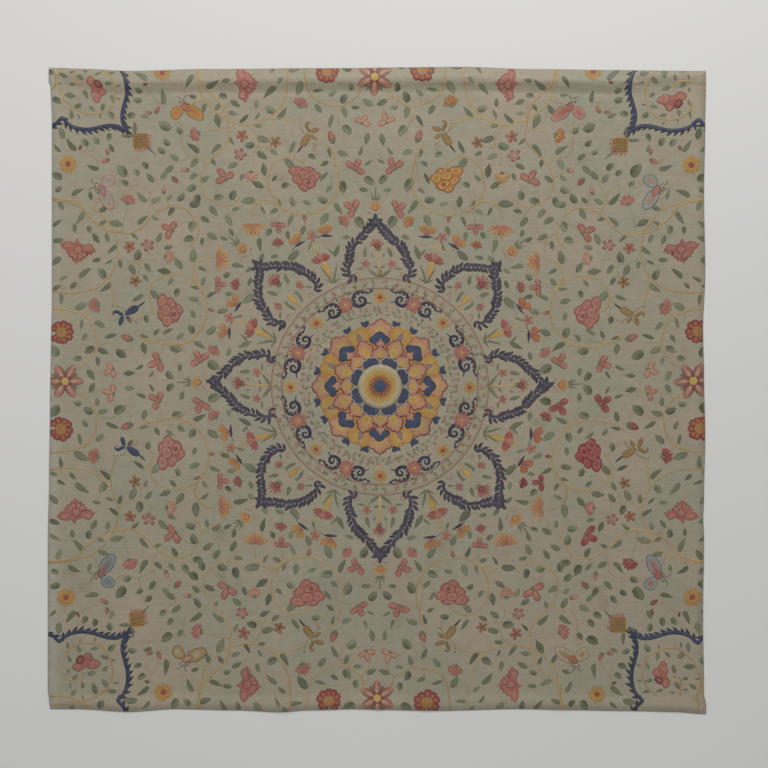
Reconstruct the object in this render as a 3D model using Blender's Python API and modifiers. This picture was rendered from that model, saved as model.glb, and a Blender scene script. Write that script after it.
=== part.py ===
"""An embroidered silk coverlet, laid out flat with its face up.

Metres, +Z up. X runs across the width and Y along the length, towards the end with the long ridge.
The origin is on the surface below the cloth, at the middle of its bounding box.
"""

from collections import namedtuple
import math

import bmesh
import bpy

# Driving dimensions. The edges waver about the straight lines of this width and length.
NAME = "coverlet"
WIDTH = 2.0956
LENGTH = 2.0536
THICKNESS = 0.002
HALF_WIDTH = WIDTH / 2
HALF_LENGTH = LENGTH / 2

# The edges waver over this far inwards from the straight lines.
EDGE_REACH = 0.35

# The long hollow ridge under the top edge, with a steeper side towards the middle of the cloth.
RIDGE_Y = 0.989
RIDGE_HEIGHT = 0.011
RIDGE_INNER = 0.038
RIDGE_OUTER = 0.036
RIDGE_STARTS = -0.975
RIDGE_ENDS = 0.885
RIDGE_FADE = 0.10

# The turned-in hem makes the edges stiff, so they stand up a little and roll down to the surface.
HEM_HEIGHT = 0.0055
HEM_CREST = 0.018
HEM_WIDTH = 0.055

# The pressed fold down the middle leans a little to one side.
CREASE_AT_BOTTOM = 0.006
CREASE_AT_TOP = -0.006
CREASE_HEIGHT = 0.0016
CREASE_HALF_WIDTH = 0.018

# Grid lines are this far apart in the open cloth.
SPACING = 0.077
HEM_LINES = (0.0, 0.008, HEM_CREST, 0.034, HEM_WIDTH)
RIDGE_LINES = 4

# How far each edge stands outside its straight line, at places along it.
Edge = namedtuple("Edge", "along outward")
LEFT_EDGE = (
    Edge(-1.024, -0.006),
    Edge(-0.998, -0.009),
    Edge(-0.966, -0.013),
    Edge(-0.483, -0.013),
    Edge(-0.290, -0.009),
    Edge(-0.048, -0.006),
    Edge(0.145, -0.003),
    Edge(0.290, 0.000),
    Edge(0.869, 0.000),
    Edge(0.966, 0.004),
    Edge(0.985, 0.010),
)
RIGHT_EDGE = (
    Edge(-0.998, 0.010),
    Edge(-0.966, 0.003),
    Edge(-0.725, 0.000),
    Edge(-0.483, -0.003),
    Edge(-0.338, 0.003),
    Edge(-0.145, 0.007),
    Edge(0.048, 0.003),
    Edge(0.193, 0.000),
    Edge(0.386, 0.007),
    Edge(0.628, 0.003),
    Edge(0.869, 0.007),
    Edge(0.966, 0.009),
)
BOTTOM_EDGE = (
    Edge(-0.968, 0.000),
    Edge(-0.797, -0.009),
    Edge(-0.652, 0.000),
    Edge(-0.459, 0.004),
    Edge(-0.314, 0.010),
    Edge(-0.217, 0.004),
    Edge(0.024, -0.003),
    Edge(0.169, -0.006),
    Edge(0.459, 0.000),
    Edge(0.604, -0.003),
    Edge(0.797, -0.006),
    Edge(0.942, -0.009),
    Edge(1.045, -0.016),
)
TOP_EDGE = (
    Edge(-1.025, 0.010),
    Edge(-0.942, 0.007),
    Edge(-0.797, 0.000),
    Edge(-0.555, -0.006),
    Edge(-0.169, -0.009),
    Edge(0.266, -0.013),
    Edge(0.507, -0.006),
    Edge(0.749, -0.003),
    Edge(0.997, 0.000),
)

# The soft waves: each is a long low hump, turned from the X axis by its own angle in degrees.
Wave = namedtuple("Wave", "x y half_length half_width turn height")
WAVES = (
    Wave(-0.44, 0.62, 0.34, 0.15, 62, 0.0055),
    Wave(-0.86, 0.42, 0.36, 0.13, 80, 0.0045),
    Wave(0.48, 0.66, 0.38, 0.14, 118, 0.0050),
    Wave(0.86, 0.36, 0.40, 0.13, 96, 0.0050),
    Wave(-0.55, -0.26, 0.38, 0.15, 28, 0.0055),
    Wave(-0.10, -0.58, 0.40, 0.14, 18, 0.0060),
    Wave(0.62, -0.30, 0.38, 0.15, 150, 0.0050),
    Wave(0.90, -0.52, 0.34, 0.12, 88, 0.0045),
    Wave(-0.91, -0.60, 0.34, 0.12, 94, 0.0045),
    Wave(0.06, 0.78, 0.42, 0.13, 176, 0.0045),
    Wave(-0.80, -0.88, 0.26, 0.09, 84, 0.0060),
    Wave(-0.31, -0.92, 0.24, 0.08, 97, 0.0070),
    Wave(0.17, -0.90, 0.27, 0.10, 90, 0.0055),
    Wave(0.60, -0.93, 0.22, 0.08, 80, 0.0060),
    Wave(0.93, -0.93, 0.20, 0.08, 104, 0.0060),
)

SILK_COLOUR = (0.41, 0.38, 0.27, 1.0)
SILK_ROUGHNESS = 0.55


def eased(share):
    """A share from 0 to 1, levelled off smoothly at both ends."""
    share = min(1.0, max(0.0, share))
    return share * share * (3 - 2 * share)


def hump(share):
    """1 at the middle of a fold, falling smoothly to 0 at a share of 1 and beyond."""
    return (1 - share * share) ** 2 if abs(share) < 1 else 0.0


def outward_at(edge, along):
    """How far an edge stands outside its straight line at one place."""
    if along <= edge[0].along:
        return edge[0].outward
    for near, far in zip(edge, edge[1:]):
        if along <= far.along:
            share = eased((along - near.along) / (far.along - near.along))
            return near.outward + share * (far.outward - near.outward)
    return edge[-1].outward


def placed(x, y):
    """The place on the wavering cloth of a point of the straight-edged one."""
    side = RIGHT_EDGE if x > 0 else LEFT_EDGE
    end = TOP_EDGE if y > 0 else BOTTOM_EDGE
    near_side = eased(1 - (HALF_WIDTH - abs(x)) / EDGE_REACH)
    near_end = eased(1 - (HALF_LENGTH - abs(y)) / EDGE_REACH)
    across = outward_at(side, y) * near_side
    along = outward_at(end, x) * near_end
    return x + math.copysign(across, x), y + math.copysign(along, y)


def ridge_height(x, y):
    """The hollow ridge, which fades out before the side edges."""
    half = RIDGE_OUTER if y > RIDGE_Y else RIDGE_INNER
    ends = eased((x - RIDGE_STARTS) / RIDGE_FADE) * eased((RIDGE_ENDS - x) / RIDGE_FADE)
    return RIDGE_HEIGHT * hump((y - RIDGE_Y) / half) * ends


def hem_height(x, y):
    """The stiff hem, which stands up a little inside the edge and comes down at the edge itself."""
    inside = min(HALF_WIDTH - abs(x), HALF_LENGTH - abs(y))
    reach = HEM_CREST if inside < HEM_CREST else HEM_WIDTH - HEM_CREST
    return HEM_HEIGHT * hump((inside - HEM_CREST) / reach)


def crease_height(x, y):
    """The pressed fold down the middle."""
    return CREASE_HEIGHT * hump((x - crease_x(y)) / CREASE_HALF_WIDTH)


def crease_x(y):
    """Where the pressed fold lies at one place along the length."""
    share = (y + HALF_LENGTH) / LENGTH
    return CREASE_AT_BOTTOM + share * (CREASE_AT_TOP - CREASE_AT_BOTTOM)


def waves_height(x, y):
    """The soft waves together, less near the edges, where the hem has its own shape."""
    total = 0.0
    for wave in WAVES:
        turn = math.radians(wave.turn)
        east = x - wave.x
        north = y - wave.y
        along = east * math.cos(turn) + north * math.sin(turn)
        across = north * math.cos(turn) - east * math.sin(turn)
        total += wave.height * hump(along / wave.half_length) * hump(across / wave.half_width)
    inside = min(HALF_WIDTH - abs(x), HALF_LENGTH - abs(y), RIDGE_Y - RIDGE_INNER - y)
    return total * eased(inside / HEM_CREST)


def height(x, y):
    """The underside of the cloth over the surface it lies on."""
    folds = max(ridge_height(x, y), hem_height(x, y))
    return folds + crease_height(x, y) + waves_height(x, y)


def even_lines(start, end):
    """Grid lines between two places, without the two places themselves."""
    steps = max(1, round((end - start) / SPACING))
    return [start + (end - start) * step / steps for step in range(1, steps)]


def column_lines():
    """Where the grid lines cross the width: close at the hems and at the crease."""
    hem = [-HALF_WIDTH + inside for inside in HEM_LINES]
    crease = [-CREASE_HALF_WIDTH, 0.0, CREASE_HALF_WIDTH]
    west = even_lines(-HALF_WIDTH + HEM_WIDTH, -CREASE_HALF_WIDTH)
    half = hem + west
    return half + crease + [-x for x in reversed(half)]


def row_lines():
    """Where the grid lines cross the length: close at the bottom hem and over the ridge."""
    hem = [-HALF_LENGTH + inside for inside in HEM_LINES]
    low = RIDGE_Y - RIDGE_INNER
    open_cloth = even_lines(-HALF_LENGTH + HEM_WIDTH, low)
    inner = [low + RIDGE_INNER * step / RIDGE_LINES for step in range(RIDGE_LINES)]
    outer = [RIDGE_Y + RIDGE_OUTER * step / RIDGE_LINES for step in range(RIDGE_LINES)]
    return hem + open_cloth + inner + outer + [HALF_LENGTH]


def cloth_mesh():
    """The underside of the cloth as one open grid, on its folds."""
    columns = column_lines()
    rows = row_lines()
    mesh = bpy.data.meshes.new(NAME)
    grid = bmesh.new()
    bmesh.ops.create_grid(grid, x_segments=len(columns) - 1, y_segments=len(rows) - 1, size=1)
    for point in grid.verts:
        column = round((point.co.x + 1) / 2 * (len(columns) - 1))
        row = round((point.co.y + 1) / 2 * (len(rows) - 1))
        line_x = columns[column]
        line_y = rows[row]
        if abs(line_x) <= CREASE_HALF_WIDTH:
            line_x += crease_x(line_y)
        x, y = placed(line_x, line_y)
        point.co = (x, y, height(line_x, line_y))
    grid.to_mesh(mesh)
    grid.free()
    mesh.shade_smooth()
    return mesh


def silk():
    """The greyed cream silk of the ground."""
    material = bpy.data.materials.new("silk")
    material.use_nodes = True
    shader = material.node_tree.nodes["Principled BSDF"]
    shader.inputs["Base Color"].default_value = SILK_COLOUR
    shader.inputs["Roughness"].default_value = SILK_ROUGHNESS
    shader.inputs["Metallic"].default_value = 0.0
    return material


def coverlet():
    """The cloth: the open grid, given its thickness upwards so that it rests on its underside."""
    piece = bpy.data.objects.new(NAME, cloth_mesh())
    piece.data.materials.append(silk())
    wall = piece.modifiers.new("thickness", "SOLIDIFY")
    wall.thickness = THICKNESS
    wall.offset = 1.0
    wall.use_rim = True
    return piece


def main():
    for old in list(bpy.data.objects):
        bpy.data.objects.remove(old, do_unlink=True)
    collection = bpy.data.collections.new(NAME)
    bpy.context.scene.collection.children.link(collection)
    collection.objects.link(coverlet())


main()
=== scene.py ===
# %% [markdown]
# # An embroidered silk coverlet
#
# The real object is one piece of greyed cream silk, about 2.1 m square, with a pattern in coloured
# floss: a medallion, eight leaf garlands, and a field of vines, flowers, birds and butterflies. This
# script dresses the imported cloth. It first loads that cloth as a fixed frame, so that every size and
# place below is in metres in the same frame, with +Z up out of the face.

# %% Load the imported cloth
import math
from collections import namedtuple

import bmesh
import bpy
import numpy as np
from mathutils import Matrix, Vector


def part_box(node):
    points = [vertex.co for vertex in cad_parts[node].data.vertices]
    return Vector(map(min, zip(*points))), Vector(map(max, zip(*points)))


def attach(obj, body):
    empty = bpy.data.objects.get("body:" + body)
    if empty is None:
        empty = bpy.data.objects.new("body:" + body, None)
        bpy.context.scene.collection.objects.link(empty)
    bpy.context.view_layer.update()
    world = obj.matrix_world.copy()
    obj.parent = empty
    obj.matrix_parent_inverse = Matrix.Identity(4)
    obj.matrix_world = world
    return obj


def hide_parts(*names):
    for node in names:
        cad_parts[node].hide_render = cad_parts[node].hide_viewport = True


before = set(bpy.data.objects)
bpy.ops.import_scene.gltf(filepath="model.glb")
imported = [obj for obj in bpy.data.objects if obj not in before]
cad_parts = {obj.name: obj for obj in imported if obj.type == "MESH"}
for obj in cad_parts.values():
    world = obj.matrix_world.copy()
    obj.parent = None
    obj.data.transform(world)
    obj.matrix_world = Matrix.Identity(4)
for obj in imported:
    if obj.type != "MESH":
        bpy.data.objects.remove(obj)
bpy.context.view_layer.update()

cloth_low, cloth_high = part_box("coverlet")
print("cloth box", [round(high - low, 3) for low, high in zip(cloth_low, cloth_high)], "m")

# %% [markdown]
# ## The camera
#
# The photo looks at the cloth face on, so the camera stands straight above it with a long lens. One
# picture element covers 3.22 mm of cloth, which gives the width of the view, and the lens then gives
# the camera's height.

# %% Camera
PICTURE_SIDE = 768
PIXEL = 0.00322
VIEW_WIDTH = PICTURE_SIDE * PIXEL
VIEW_MIDDLE = (0.0209, 0.0193)
LENS = 135.0
SENSOR = 36.0


def linked(made):
    """Puts a new object in the scene."""
    bpy.context.scene.collection.objects.link(made)
    return made


camera_data = bpy.data.cameras.new("camera")
camera_data.lens = LENS
camera_data.sensor_width = SENSOR
camera = bpy.data.objects.new("camera", camera_data)
camera.location = (*VIEW_MIDDLE, VIEW_WIDTH * LENS / SENSOR)
bpy.context.scene.camera = linked(camera)
print("camera height", round(camera.location.z, 2), "m")

# %% [markdown]
# ## The cloth's folds
#
# The cloth lies on its solid's folds: a hollow ridge under the top edge, stiff hems that stand up and
# roll down, a pressed fold down the middle, and soft waves. The sizes are the solid's own, repeated
# here. They could be read back from the solid, but its facets would show, so the same smooth formulas
# are worked out again at every point of a fine grid. Fine drag lines and puckers are added.

# %% Sizes of the cloth and its folds
WIDTH = 2.0956
LENGTH = 2.0536
THICKNESS = 0.002
HALF_WIDTH = WIDTH / 2
HALF_LENGTH = LENGTH / 2
EDGE_REACH = 0.35
RIDGE_Y = 0.989
RIDGE_HEIGHT = 0.011
RIDGE_INNER = 0.038
RIDGE_OUTER = 0.036
RIDGE_STARTS = -0.975
RIDGE_ENDS = 0.885
RIDGE_FADE = 0.1
HEM_HEIGHT = 0.0055
HEM_CREST = 0.018
HEM_WIDTH = 0.055
CREASE_AT_BOTTOM = 0.006
CREASE_AT_TOP = -0.006
CREASE_HEIGHT = 0.0016
CREASE_HALF_WIDTH = 0.018

# Each edge stands this far outside its straight line, at places along it
LEFT_EDGE = (
    (-1.024, -0.006), (-0.998, -0.009), (-0.966, -0.013), (-0.483, -0.013), (-0.29, -0.009),
    (-0.048, -0.006), (0.145, -0.003), (0.29, 0.0), (0.869, 0.0), (0.966, 0.004), (0.985, 0.01),
)
RIGHT_EDGE = (
    (-0.998, 0.01), (-0.966, 0.003), (-0.725, 0.0), (-0.483, -0.003), (-0.338, 0.003),
    (-0.145, 0.007), (0.048, 0.003), (0.193, 0.0), (0.386, 0.007), (0.628, 0.003), (0.869, 0.007),
    (0.966, 0.009),
)
BOTTOM_EDGE = (
    (-0.968, 0.0), (-0.797, -0.009), (-0.652, 0.0), (-0.459, 0.004), (-0.314, 0.01),
    (-0.217, 0.004), (0.024, -0.003), (0.169, -0.006), (0.459, 0.0), (0.604, -0.003),
    (0.797, -0.006), (0.942, -0.009), (1.045, -0.016),
)
TOP_EDGE = (
    (-1.025, 0.01), (-0.942, 0.007), (-0.797, 0.0), (-0.555, -0.006), (-0.169, -0.009),
    (0.266, -0.013), (0.507, -0.006), (0.749, -0.003), (0.997, 0.0),
)
Wave = namedtuple("Wave", "x y half_length half_width turn height")
WAVES = (
    Wave(-0.44, 0.62, 0.34, 0.15, 62, 0.0055),
    Wave(-0.86, 0.42, 0.36, 0.13, 80, 0.0045),
    Wave(0.48, 0.66, 0.38, 0.14, 118, 0.005),
    Wave(0.86, 0.36, 0.4, 0.13, 96, 0.005),
    Wave(-0.55, -0.26, 0.38, 0.15, 28, 0.0055),
    Wave(-0.1, -0.58, 0.4, 0.14, 18, 0.006),
    Wave(0.62, -0.3, 0.38, 0.15, 150, 0.005),
    Wave(0.9, -0.52, 0.34, 0.12, 88, 0.0045),
    Wave(-0.91, -0.6, 0.34, 0.12, 94, 0.0045),
    Wave(0.06, 0.78, 0.42, 0.13, 176, 0.0045),
    Wave(-0.8, -0.88, 0.26, 0.09, 84, 0.006),
    Wave(-0.31, -0.92, 0.24, 0.08, 97, 0.007),
    Wave(0.17, -0.9, 0.27, 0.1, 90, 0.0055),
    Wave(0.6, -0.93, 0.22, 0.08, 80, 0.006),
    Wave(0.93, -0.93, 0.2, 0.08, 104, 0.006),
)


# %% How the cloth lies at any place
def eased(share):
    """A share from 0 to 1, levelled off smoothly at both ends."""
    share = np.clip(share, 0.0, 1.0)
    return share * share * (3 - 2 * share)


def hump(share):
    """1 at the middle of a fold, falling smoothly to 0 at a share of 1 and beyond."""
    return np.clip(1 - share * share, 0.0, None) ** 2


def outward_at(edge, along):
    """How far an edge stands outside its straight line, eased between the places given."""
    places, outwards = np.array(edge).T
    along = np.clip(along, places[0], places[-1])
    after = np.clip(np.searchsorted(places, along), 1, len(places) - 1)
    share = eased((along - places[after - 1]) / (places[after] - places[after - 1]))
    return outwards[after - 1] + share * (outwards[after] - outwards[after - 1])


def placed(x, y):
    """The place on the wavering cloth of points of the straight-edged one."""
    near_side = eased(1 - (HALF_WIDTH - abs(x)) / EDGE_REACH)
    near_end = eased(1 - (HALF_LENGTH - abs(y)) / EDGE_REACH)
    across = np.where(x > 0, outward_at(RIGHT_EDGE, y), outward_at(LEFT_EDGE, y)) * near_side
    along = np.where(y > 0, outward_at(TOP_EDGE, x), outward_at(BOTTOM_EDGE, x)) * near_end
    return x + np.copysign(across, x), y + np.copysign(along, y)


def from_edges(x, y):
    """The distance to the nearest edge."""
    return np.minimum(HALF_WIDTH - abs(x), HALF_LENGTH - abs(y))


def ridge_height(x, y):
    half = np.where(y > RIDGE_Y, RIDGE_OUTER, RIDGE_INNER)
    ends = eased((x - RIDGE_STARTS) / RIDGE_FADE) * eased((RIDGE_ENDS - x) / RIDGE_FADE)
    return RIDGE_HEIGHT * hump((y - RIDGE_Y) / half) * ends


def hem_height(x, y):
    inside = from_edges(x, y)
    reach = np.where(inside < HEM_CREST, HEM_CREST, HEM_WIDTH - HEM_CREST)
    return HEM_HEIGHT * hump((inside - HEM_CREST) / reach)


def crease_height(x, y):
    share = (y + HALF_LENGTH) / LENGTH
    middle = CREASE_AT_BOTTOM + share * (CREASE_AT_TOP - CREASE_AT_BOTTOM)
    return CREASE_HEIGHT * hump((x - middle) / CREASE_HALF_WIDTH)


def folds_height(folds, x, y):
    """Long low humps, each turned by its own angle, added together."""
    total = np.zeros_like(x)
    for fold in folds:
        turn = math.radians(fold.turn)
        east = x - fold.x
        north = y - fold.y
        along = east * math.cos(turn) + north * math.sin(turn)
        across = north * math.cos(turn) - east * math.sin(turn)
        total += fold.height * hump(along / fold.half_length) * hump(across / fold.half_width)
    return total


# Drag lines that only the fine surface shows: below the ridge, at the corners and round the medallion
DRAGS = (
    Wave(-0.8, 0.905, 0.1, 0.016, 68, 0.0016),
    Wave(-0.52, 0.9, 0.12, 0.018, 82, 0.0015),
    Wave(-0.24, 0.91, 0.09, 0.015, 100, 0.0014),
    Wave(0.11, 0.905, 0.11, 0.017, 88, 0.0015),
    Wave(0.4, 0.9, 0.12, 0.016, 76, 0.0015),
    Wave(0.7, 0.905, 0.1, 0.017, 104, 0.0016),
    Wave(-0.93, 0.8, 0.15, 0.022, 48, 0.0018),
    Wave(0.92, 0.78, 0.15, 0.022, 130, 0.0018),
    Wave(0.93, -0.84, 0.14, 0.02, 44, 0.002),
    Wave(-0.94, -0.82, 0.14, 0.02, 136, 0.0018),
    Wave(-0.4, -0.3, 0.17, 0.02, 40, 0.0014),
    Wave(0.42, -0.36, 0.18, 0.02, 142, 0.0014),
    Wave(0.4, 0.42, 0.16, 0.018, 50, 0.0013),
    Wave(-0.38, 0.4, 0.16, 0.018, 128, 0.0013),
    Wave(-0.72, 0.08, 0.2, 0.022, 12, 0.0014),
    Wave(0.74, 0.02, 0.2, 0.022, 170, 0.0014),
    Wave(-0.06, -0.78, 0.15, 0.018, 96, 0.0016),
    Wave(0.4, -0.8, 0.15, 0.018, 84, 0.0016),
    Wave(-0.55, -0.78, 0.15, 0.018, 100, 0.0016),
)

# Puckers drawn up by the stitching: a few crossing ripples, each with its own pitch and direction
Ripple = namedtuple("Ripple", "pitch turn shift height")
RIPPLES = (
    Ripple(0.083, 12, 0.4, 0.00022),
    Ripple(0.064, 74, 1.9, 0.0002),
    Ripple(0.107, 131, 3.0, 0.00024),
    Ripple(0.051, 38, 5.1, 0.00015),
    Ripple(0.139, 98, 0.9, 0.00028),
    Ripple(0.19, 161, 2.2, 0.00035),
)


def puckers_height(x, y):
    """Crossing ripples, bent by a longer one so that they never line up."""
    total = np.zeros_like(x)
    bend = 0.03 * np.sin(5.3 * x + 1.0) * np.cos(4.1 * y - 0.6)
    for ripple in RIPPLES:
        turn = math.radians(ripple.turn)
        along = (x + bend) * math.cos(turn) + (y - bend) * math.sin(turn)
        total += ripple.height * (1 + np.sin(2 * math.pi * along / ripple.pitch + ripple.shift))
    return total


def underside(x, y):
    """The height of the cloth's underside over the surface it lies on."""
    folds = np.maximum(ridge_height(x, y), hem_height(x, y))
    calm = eased(np.minimum(from_edges(x, y), RIDGE_Y - RIDGE_INNER - y) / HEM_CREST)
    open_cloth = folds_height(WAVES, x, y) + folds_height(DRAGS, x, y) + puckers_height(x, y)
    return folds + crease_height(x, y) + open_cloth * calm


# %% [markdown]
# ## The silk cloth
#
# The cloth is one sheet with a turned-in hem. Blender's grid makes its underside, with lines that are
# close together over the hems and the ridge and wider apart in the open, and Solidify gives the
# thickness upwards, so that the cloth still rests on its underside. Its UV map is the flat cloth
# itself, from 0 to 1 each way, which later lets the embroidery find its place on the folds.

# %% Grid of the cloth
FINE = 0.0042
OPEN = 0.0112
HEM_BAND = 0.06
RIDGE_BAND = 0.084


def lines(*bands):
    """Grid lines for bands that follow each other: each is (start, end, spacing)."""
    made = []
    for start, end, spacing in bands:
        steps = max(1, round((end - start) / spacing))
        made.extend(np.linspace(start, end, steps, endpoint=False))
    return np.array([*made, bands[-1][1]])


columns = lines(
    (-HALF_WIDTH, -HALF_WIDTH + HEM_BAND, FINE),
    (-HALF_WIDTH + HEM_BAND, HALF_WIDTH - HEM_BAND, OPEN),
    (HALF_WIDTH - HEM_BAND, HALF_WIDTH, FINE),
)
rows = lines(
    (-HALF_LENGTH, -HALF_LENGTH + HEM_BAND, FINE),
    (-HALF_LENGTH + HEM_BAND, HALF_LENGTH - RIDGE_BAND, OPEN),
    (HALF_LENGTH - RIDGE_BAND, HALF_LENGTH, FINE),
)


def cloth_grid():
    """The open underside of the cloth on its folds, with the flat cloth as its UV map."""
    grid = bmesh.new()
    bmesh.ops.create_grid(grid, x_segments=len(columns) - 1, y_segments=len(rows) - 1, size=1)
    share = np.array([(point.co.x + 1, point.co.y + 1) for point in grid.verts]) / 2
    flat_x = columns[np.rint(share[:, 0] * (len(columns) - 1)).astype(int)]
    flat_y = rows[np.rint(share[:, 1] * (len(rows) - 1)).astype(int)]
    x, y = placed(flat_x, flat_y)
    z = underside(flat_x, flat_y)
    uv = grid.loops.layers.uv.new("cloth")
    for point, *place in zip(grid.verts, x, y, z, flat_x, flat_y):
        point.co = place[:3]
        for corner in point.link_loops:
            corner[uv].uv = (place[3] / WIDTH + 0.5, place[4] / LENGTH + 0.5)
    mesh = bpy.data.meshes.new("cloth")
    grid.to_mesh(mesh)
    grid.free()
    mesh.shade_smooth()
    return mesh


def plain_copy(source, name):
    """The evaluated object as a plain mesh on a new object, with the source removed."""
    bpy.context.view_layer.update()
    graph = bpy.context.evaluated_depsgraph_get()
    mesh = bpy.data.meshes.new_from_object(source.evaluated_get(graph))
    mesh.name = name
    piece = linked(bpy.data.objects.new(name, mesh))
    bpy.data.objects.remove(source, do_unlink=True)
    return piece


sheet = linked(bpy.data.objects.new("sheet", cloth_grid()))
wall = sheet.modifiers.new("thickness", "SOLIDIFY")
wall.thickness = THICKNESS
wall.offset = 1.0
wall.use_rim = True
cloth = plain_copy(sheet, "silk_cloth")
print("cloth", len(cloth.data.vertices), "points,", len(cloth.data.polygons), "faces")

# %% [markdown]
# ## Laying embroidery on the folds
#
# Embroidery is worked on flat silk in a frame, and only later does the cloth take its folds. The script
# does the same: each piece is drawn flat, and a Geometry Nodes tree then finds, through the cloth's UV
# map, where each of its points lies on the folds and which way the silk faces there. Moving the points
# one by one in Python would work too, but the node reads the cloth's own surface, so that nothing can
# part from it.

# %% Small builders for node trees
def put(tree, kind, feed=None, **settings):
    """Adds a node, sets it up, and feeds its inputs with values or with other nodes' outputs."""
    node = tree.nodes.new(kind)
    for name, value in settings.items():
        setattr(node, name, value)
    for name, value in (feed or {}).items():
        socket = node.inputs[name]
        if isinstance(value, bpy.types.NodeSocket):
            tree.links.new(value, socket)
        else:
            socket.default_value = value
    return node


def geometry_tree(name, **inputs):
    """A Geometry Nodes tree with a geometry input and output and further named inputs."""
    tree = bpy.data.node_groups.new(name, "GeometryNodeTree")
    tree.interface.new_socket("Geometry", in_out="INPUT", socket_type="NodeSocketGeometry")
    for title, kind in inputs.items():
        tree.interface.new_socket(title, in_out="INPUT", socket_type="NodeSocket" + kind)
    tree.interface.new_socket("Geometry", in_out="OUTPUT", socket_type="NodeSocketGeometry")
    return tree, put(tree, "NodeGroupInput")


def end_tree(tree, geometry, material):
    """Ends a tree as the export needs it: instances realized and the material set."""
    real = put(tree, "GeometryNodeRealizeInstances", {"Geometry": geometry})
    faced = put(tree, "GeometryNodeSetMaterial", {"Geometry": real.outputs[0], "Material": material})
    put(tree, "NodeGroupOutput", {"Geometry": faced.outputs[0]})


def worked(tree, source, name, **values):
    """Runs a tree on an object with its inputs set by identifier, and keeps the plain mesh."""
    modifier = source.modifiers.new(tree.name, "NODES")
    modifier.node_group = tree
    for item in tree.interface.items_tree:
        if item.in_out == "INPUT" and item.name in values:
            modifier[item.identifier] = values[item.name]
    return plain_copy(source, name)


def calculated(tree, operation, *values):
    """The output of a Math node on up to three values."""
    return put(tree, "ShaderNodeMath", dict(enumerate(values)), operation=operation).outputs[0]


def named(tree, name, data_type="FLOAT"):
    """A named attribute of the points."""
    return put(tree, "GeometryNodeInputNamedAttribute", {"Name": name}, data_type=data_type).outputs[0]


# %% Tree that lays flat work on the cloth
lay_tree, given = geometry_tree(
    "Lay on the cloth", Cloth="Object", Width="Float", Length="Float", Thickness="Float",
    Material="Material",
)
cloth_node = put(lay_tree, "GeometryNodeObjectInfo", {"Object": given.outputs["Cloth"]})
own_place = put(lay_tree, "GeometryNodeInputPosition").outputs[0]
place_node = put(lay_tree, "ShaderNodeSeparateXYZ", {0: own_place})
u_share = calculated(lay_tree, "DIVIDE", place_node.outputs[0], given.outputs["Width"])
v_share = calculated(lay_tree, "DIVIDE", place_node.outputs[1], given.outputs["Length"])
flat_uv = put(lay_tree, "ShaderNodeCombineXYZ", {
    0: calculated(lay_tree, "ADD", u_share, 0.5),
    1: calculated(lay_tree, "ADD", v_share, 0.5),
}).outputs[0]
cloth_uv = named(lay_tree, "cloth", "FLOAT_VECTOR")


def read_cloth(field):
    """A value of the cloth under each point of the flat work."""
    feed = {0: cloth_node.outputs["Geometry"], 1: field, 2: cloth_uv, 3: flat_uv}
    return put(lay_tree, "GeometryNodeSampleUVSurface", feed, data_type="FLOAT_VECTOR").outputs[0]


silk_place = read_cloth(own_place)
silk_normal = read_cloth(put(lay_tree, "GeometryNodeInputNormal").outputs[0])
stand = calculated(lay_tree, "ADD", place_node.outputs[2], given.outputs["Thickness"])
lift = put(lay_tree, "ShaderNodeVectorMath", {0: silk_normal, "Scale": stand}, operation="SCALE").outputs[0]
laid_place = put(lay_tree, "ShaderNodeVectorMath", {0: silk_place, 1: lift}, operation="ADD").outputs[0]
laid = put(lay_tree, "GeometryNodeSetPosition", {
    "Geometry": given.outputs["Geometry"], "Position": laid_place,
})
end_tree(lay_tree, laid.outputs[0], given.outputs["Material"])

# The cloth that the tree reads is the open underside grid, which is taken away at the end
lie_of_cloth = linked(bpy.data.objects.new("lie_of_cloth", cloth_grid()))
print("tree", lay_tree.name, "has", len(lay_tree.nodes), "nodes")

# %% [markdown]
# ## How a stitched shape is drawn
#
# The pattern is charted on squares of 32.2 mm, counted from the middle of the medallion, with x to the
# right and y up. Every stitched shape is a low lens of satin stitch: its rim is sunk in the silk, and it
# swells to about half a millimetre. Each point carries the dye of the floss and its place along and
# across the stitches, which the floss material reads. Four shapes make all the motifs: a petal with a
# spine, a round patch, a free outline about a heart, and a line of stitches.

# %% Chart, dyes and levels
SQUARE = 0.0322
MIDDLE = np.array([0.008, 0.0113])
LEVEL = 0.00025
SUNK = -1.0
CREST = 1.3
SHOULDER = 1.5
TOP = 2.0


def dye(red, green, blue):
    """A colour given as seen on a screen, from 0 to 255, as Blender's linear light."""
    seen = np.array([red, green, blue]) / 255
    return np.where(seen <= 0.04045, seen / 12.92, ((seen + 0.055) / 1.055) ** 2.4)


DYES = {
    "leaf": dye(106, 110, 83), "dark_leaf": dye(77, 80, 59), "pale_leaf": dye(122, 126, 99),
    "navy": dye(42, 44, 65), "violet": dye(62, 57, 74), "lilac": dye(112, 100, 110),
    "blue": dye(50, 60, 88), "bright_blue": dye(48, 72, 100), "pale_blue": dye(136, 146, 140),
    "coral": dye(161, 97, 84), "pink": dye(174, 124, 103), "pale_pink": dye(182, 148, 122),
    "red": dye(140, 70, 63), "deep_red": dye(110, 52, 50), "crimson": dye(128, 46, 54),
    "gold": dye(178, 134, 64), "yellow": dye(188, 156, 84), "orange": dye(174, 110, 56),
    "ochre": dye(146, 116, 66), "cream": dye(174, 165, 134), "brown": dye(104, 76, 54),
    "black": dye(48, 46, 48), "vine": dye(176, 148, 94), "stem": dye(164, 144, 100),
}


def dyed(colour):
    """A dye given by its name, or a colour that is mixed already."""
    return DYES[colour] if isinstance(colour, str) else colour


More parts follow.
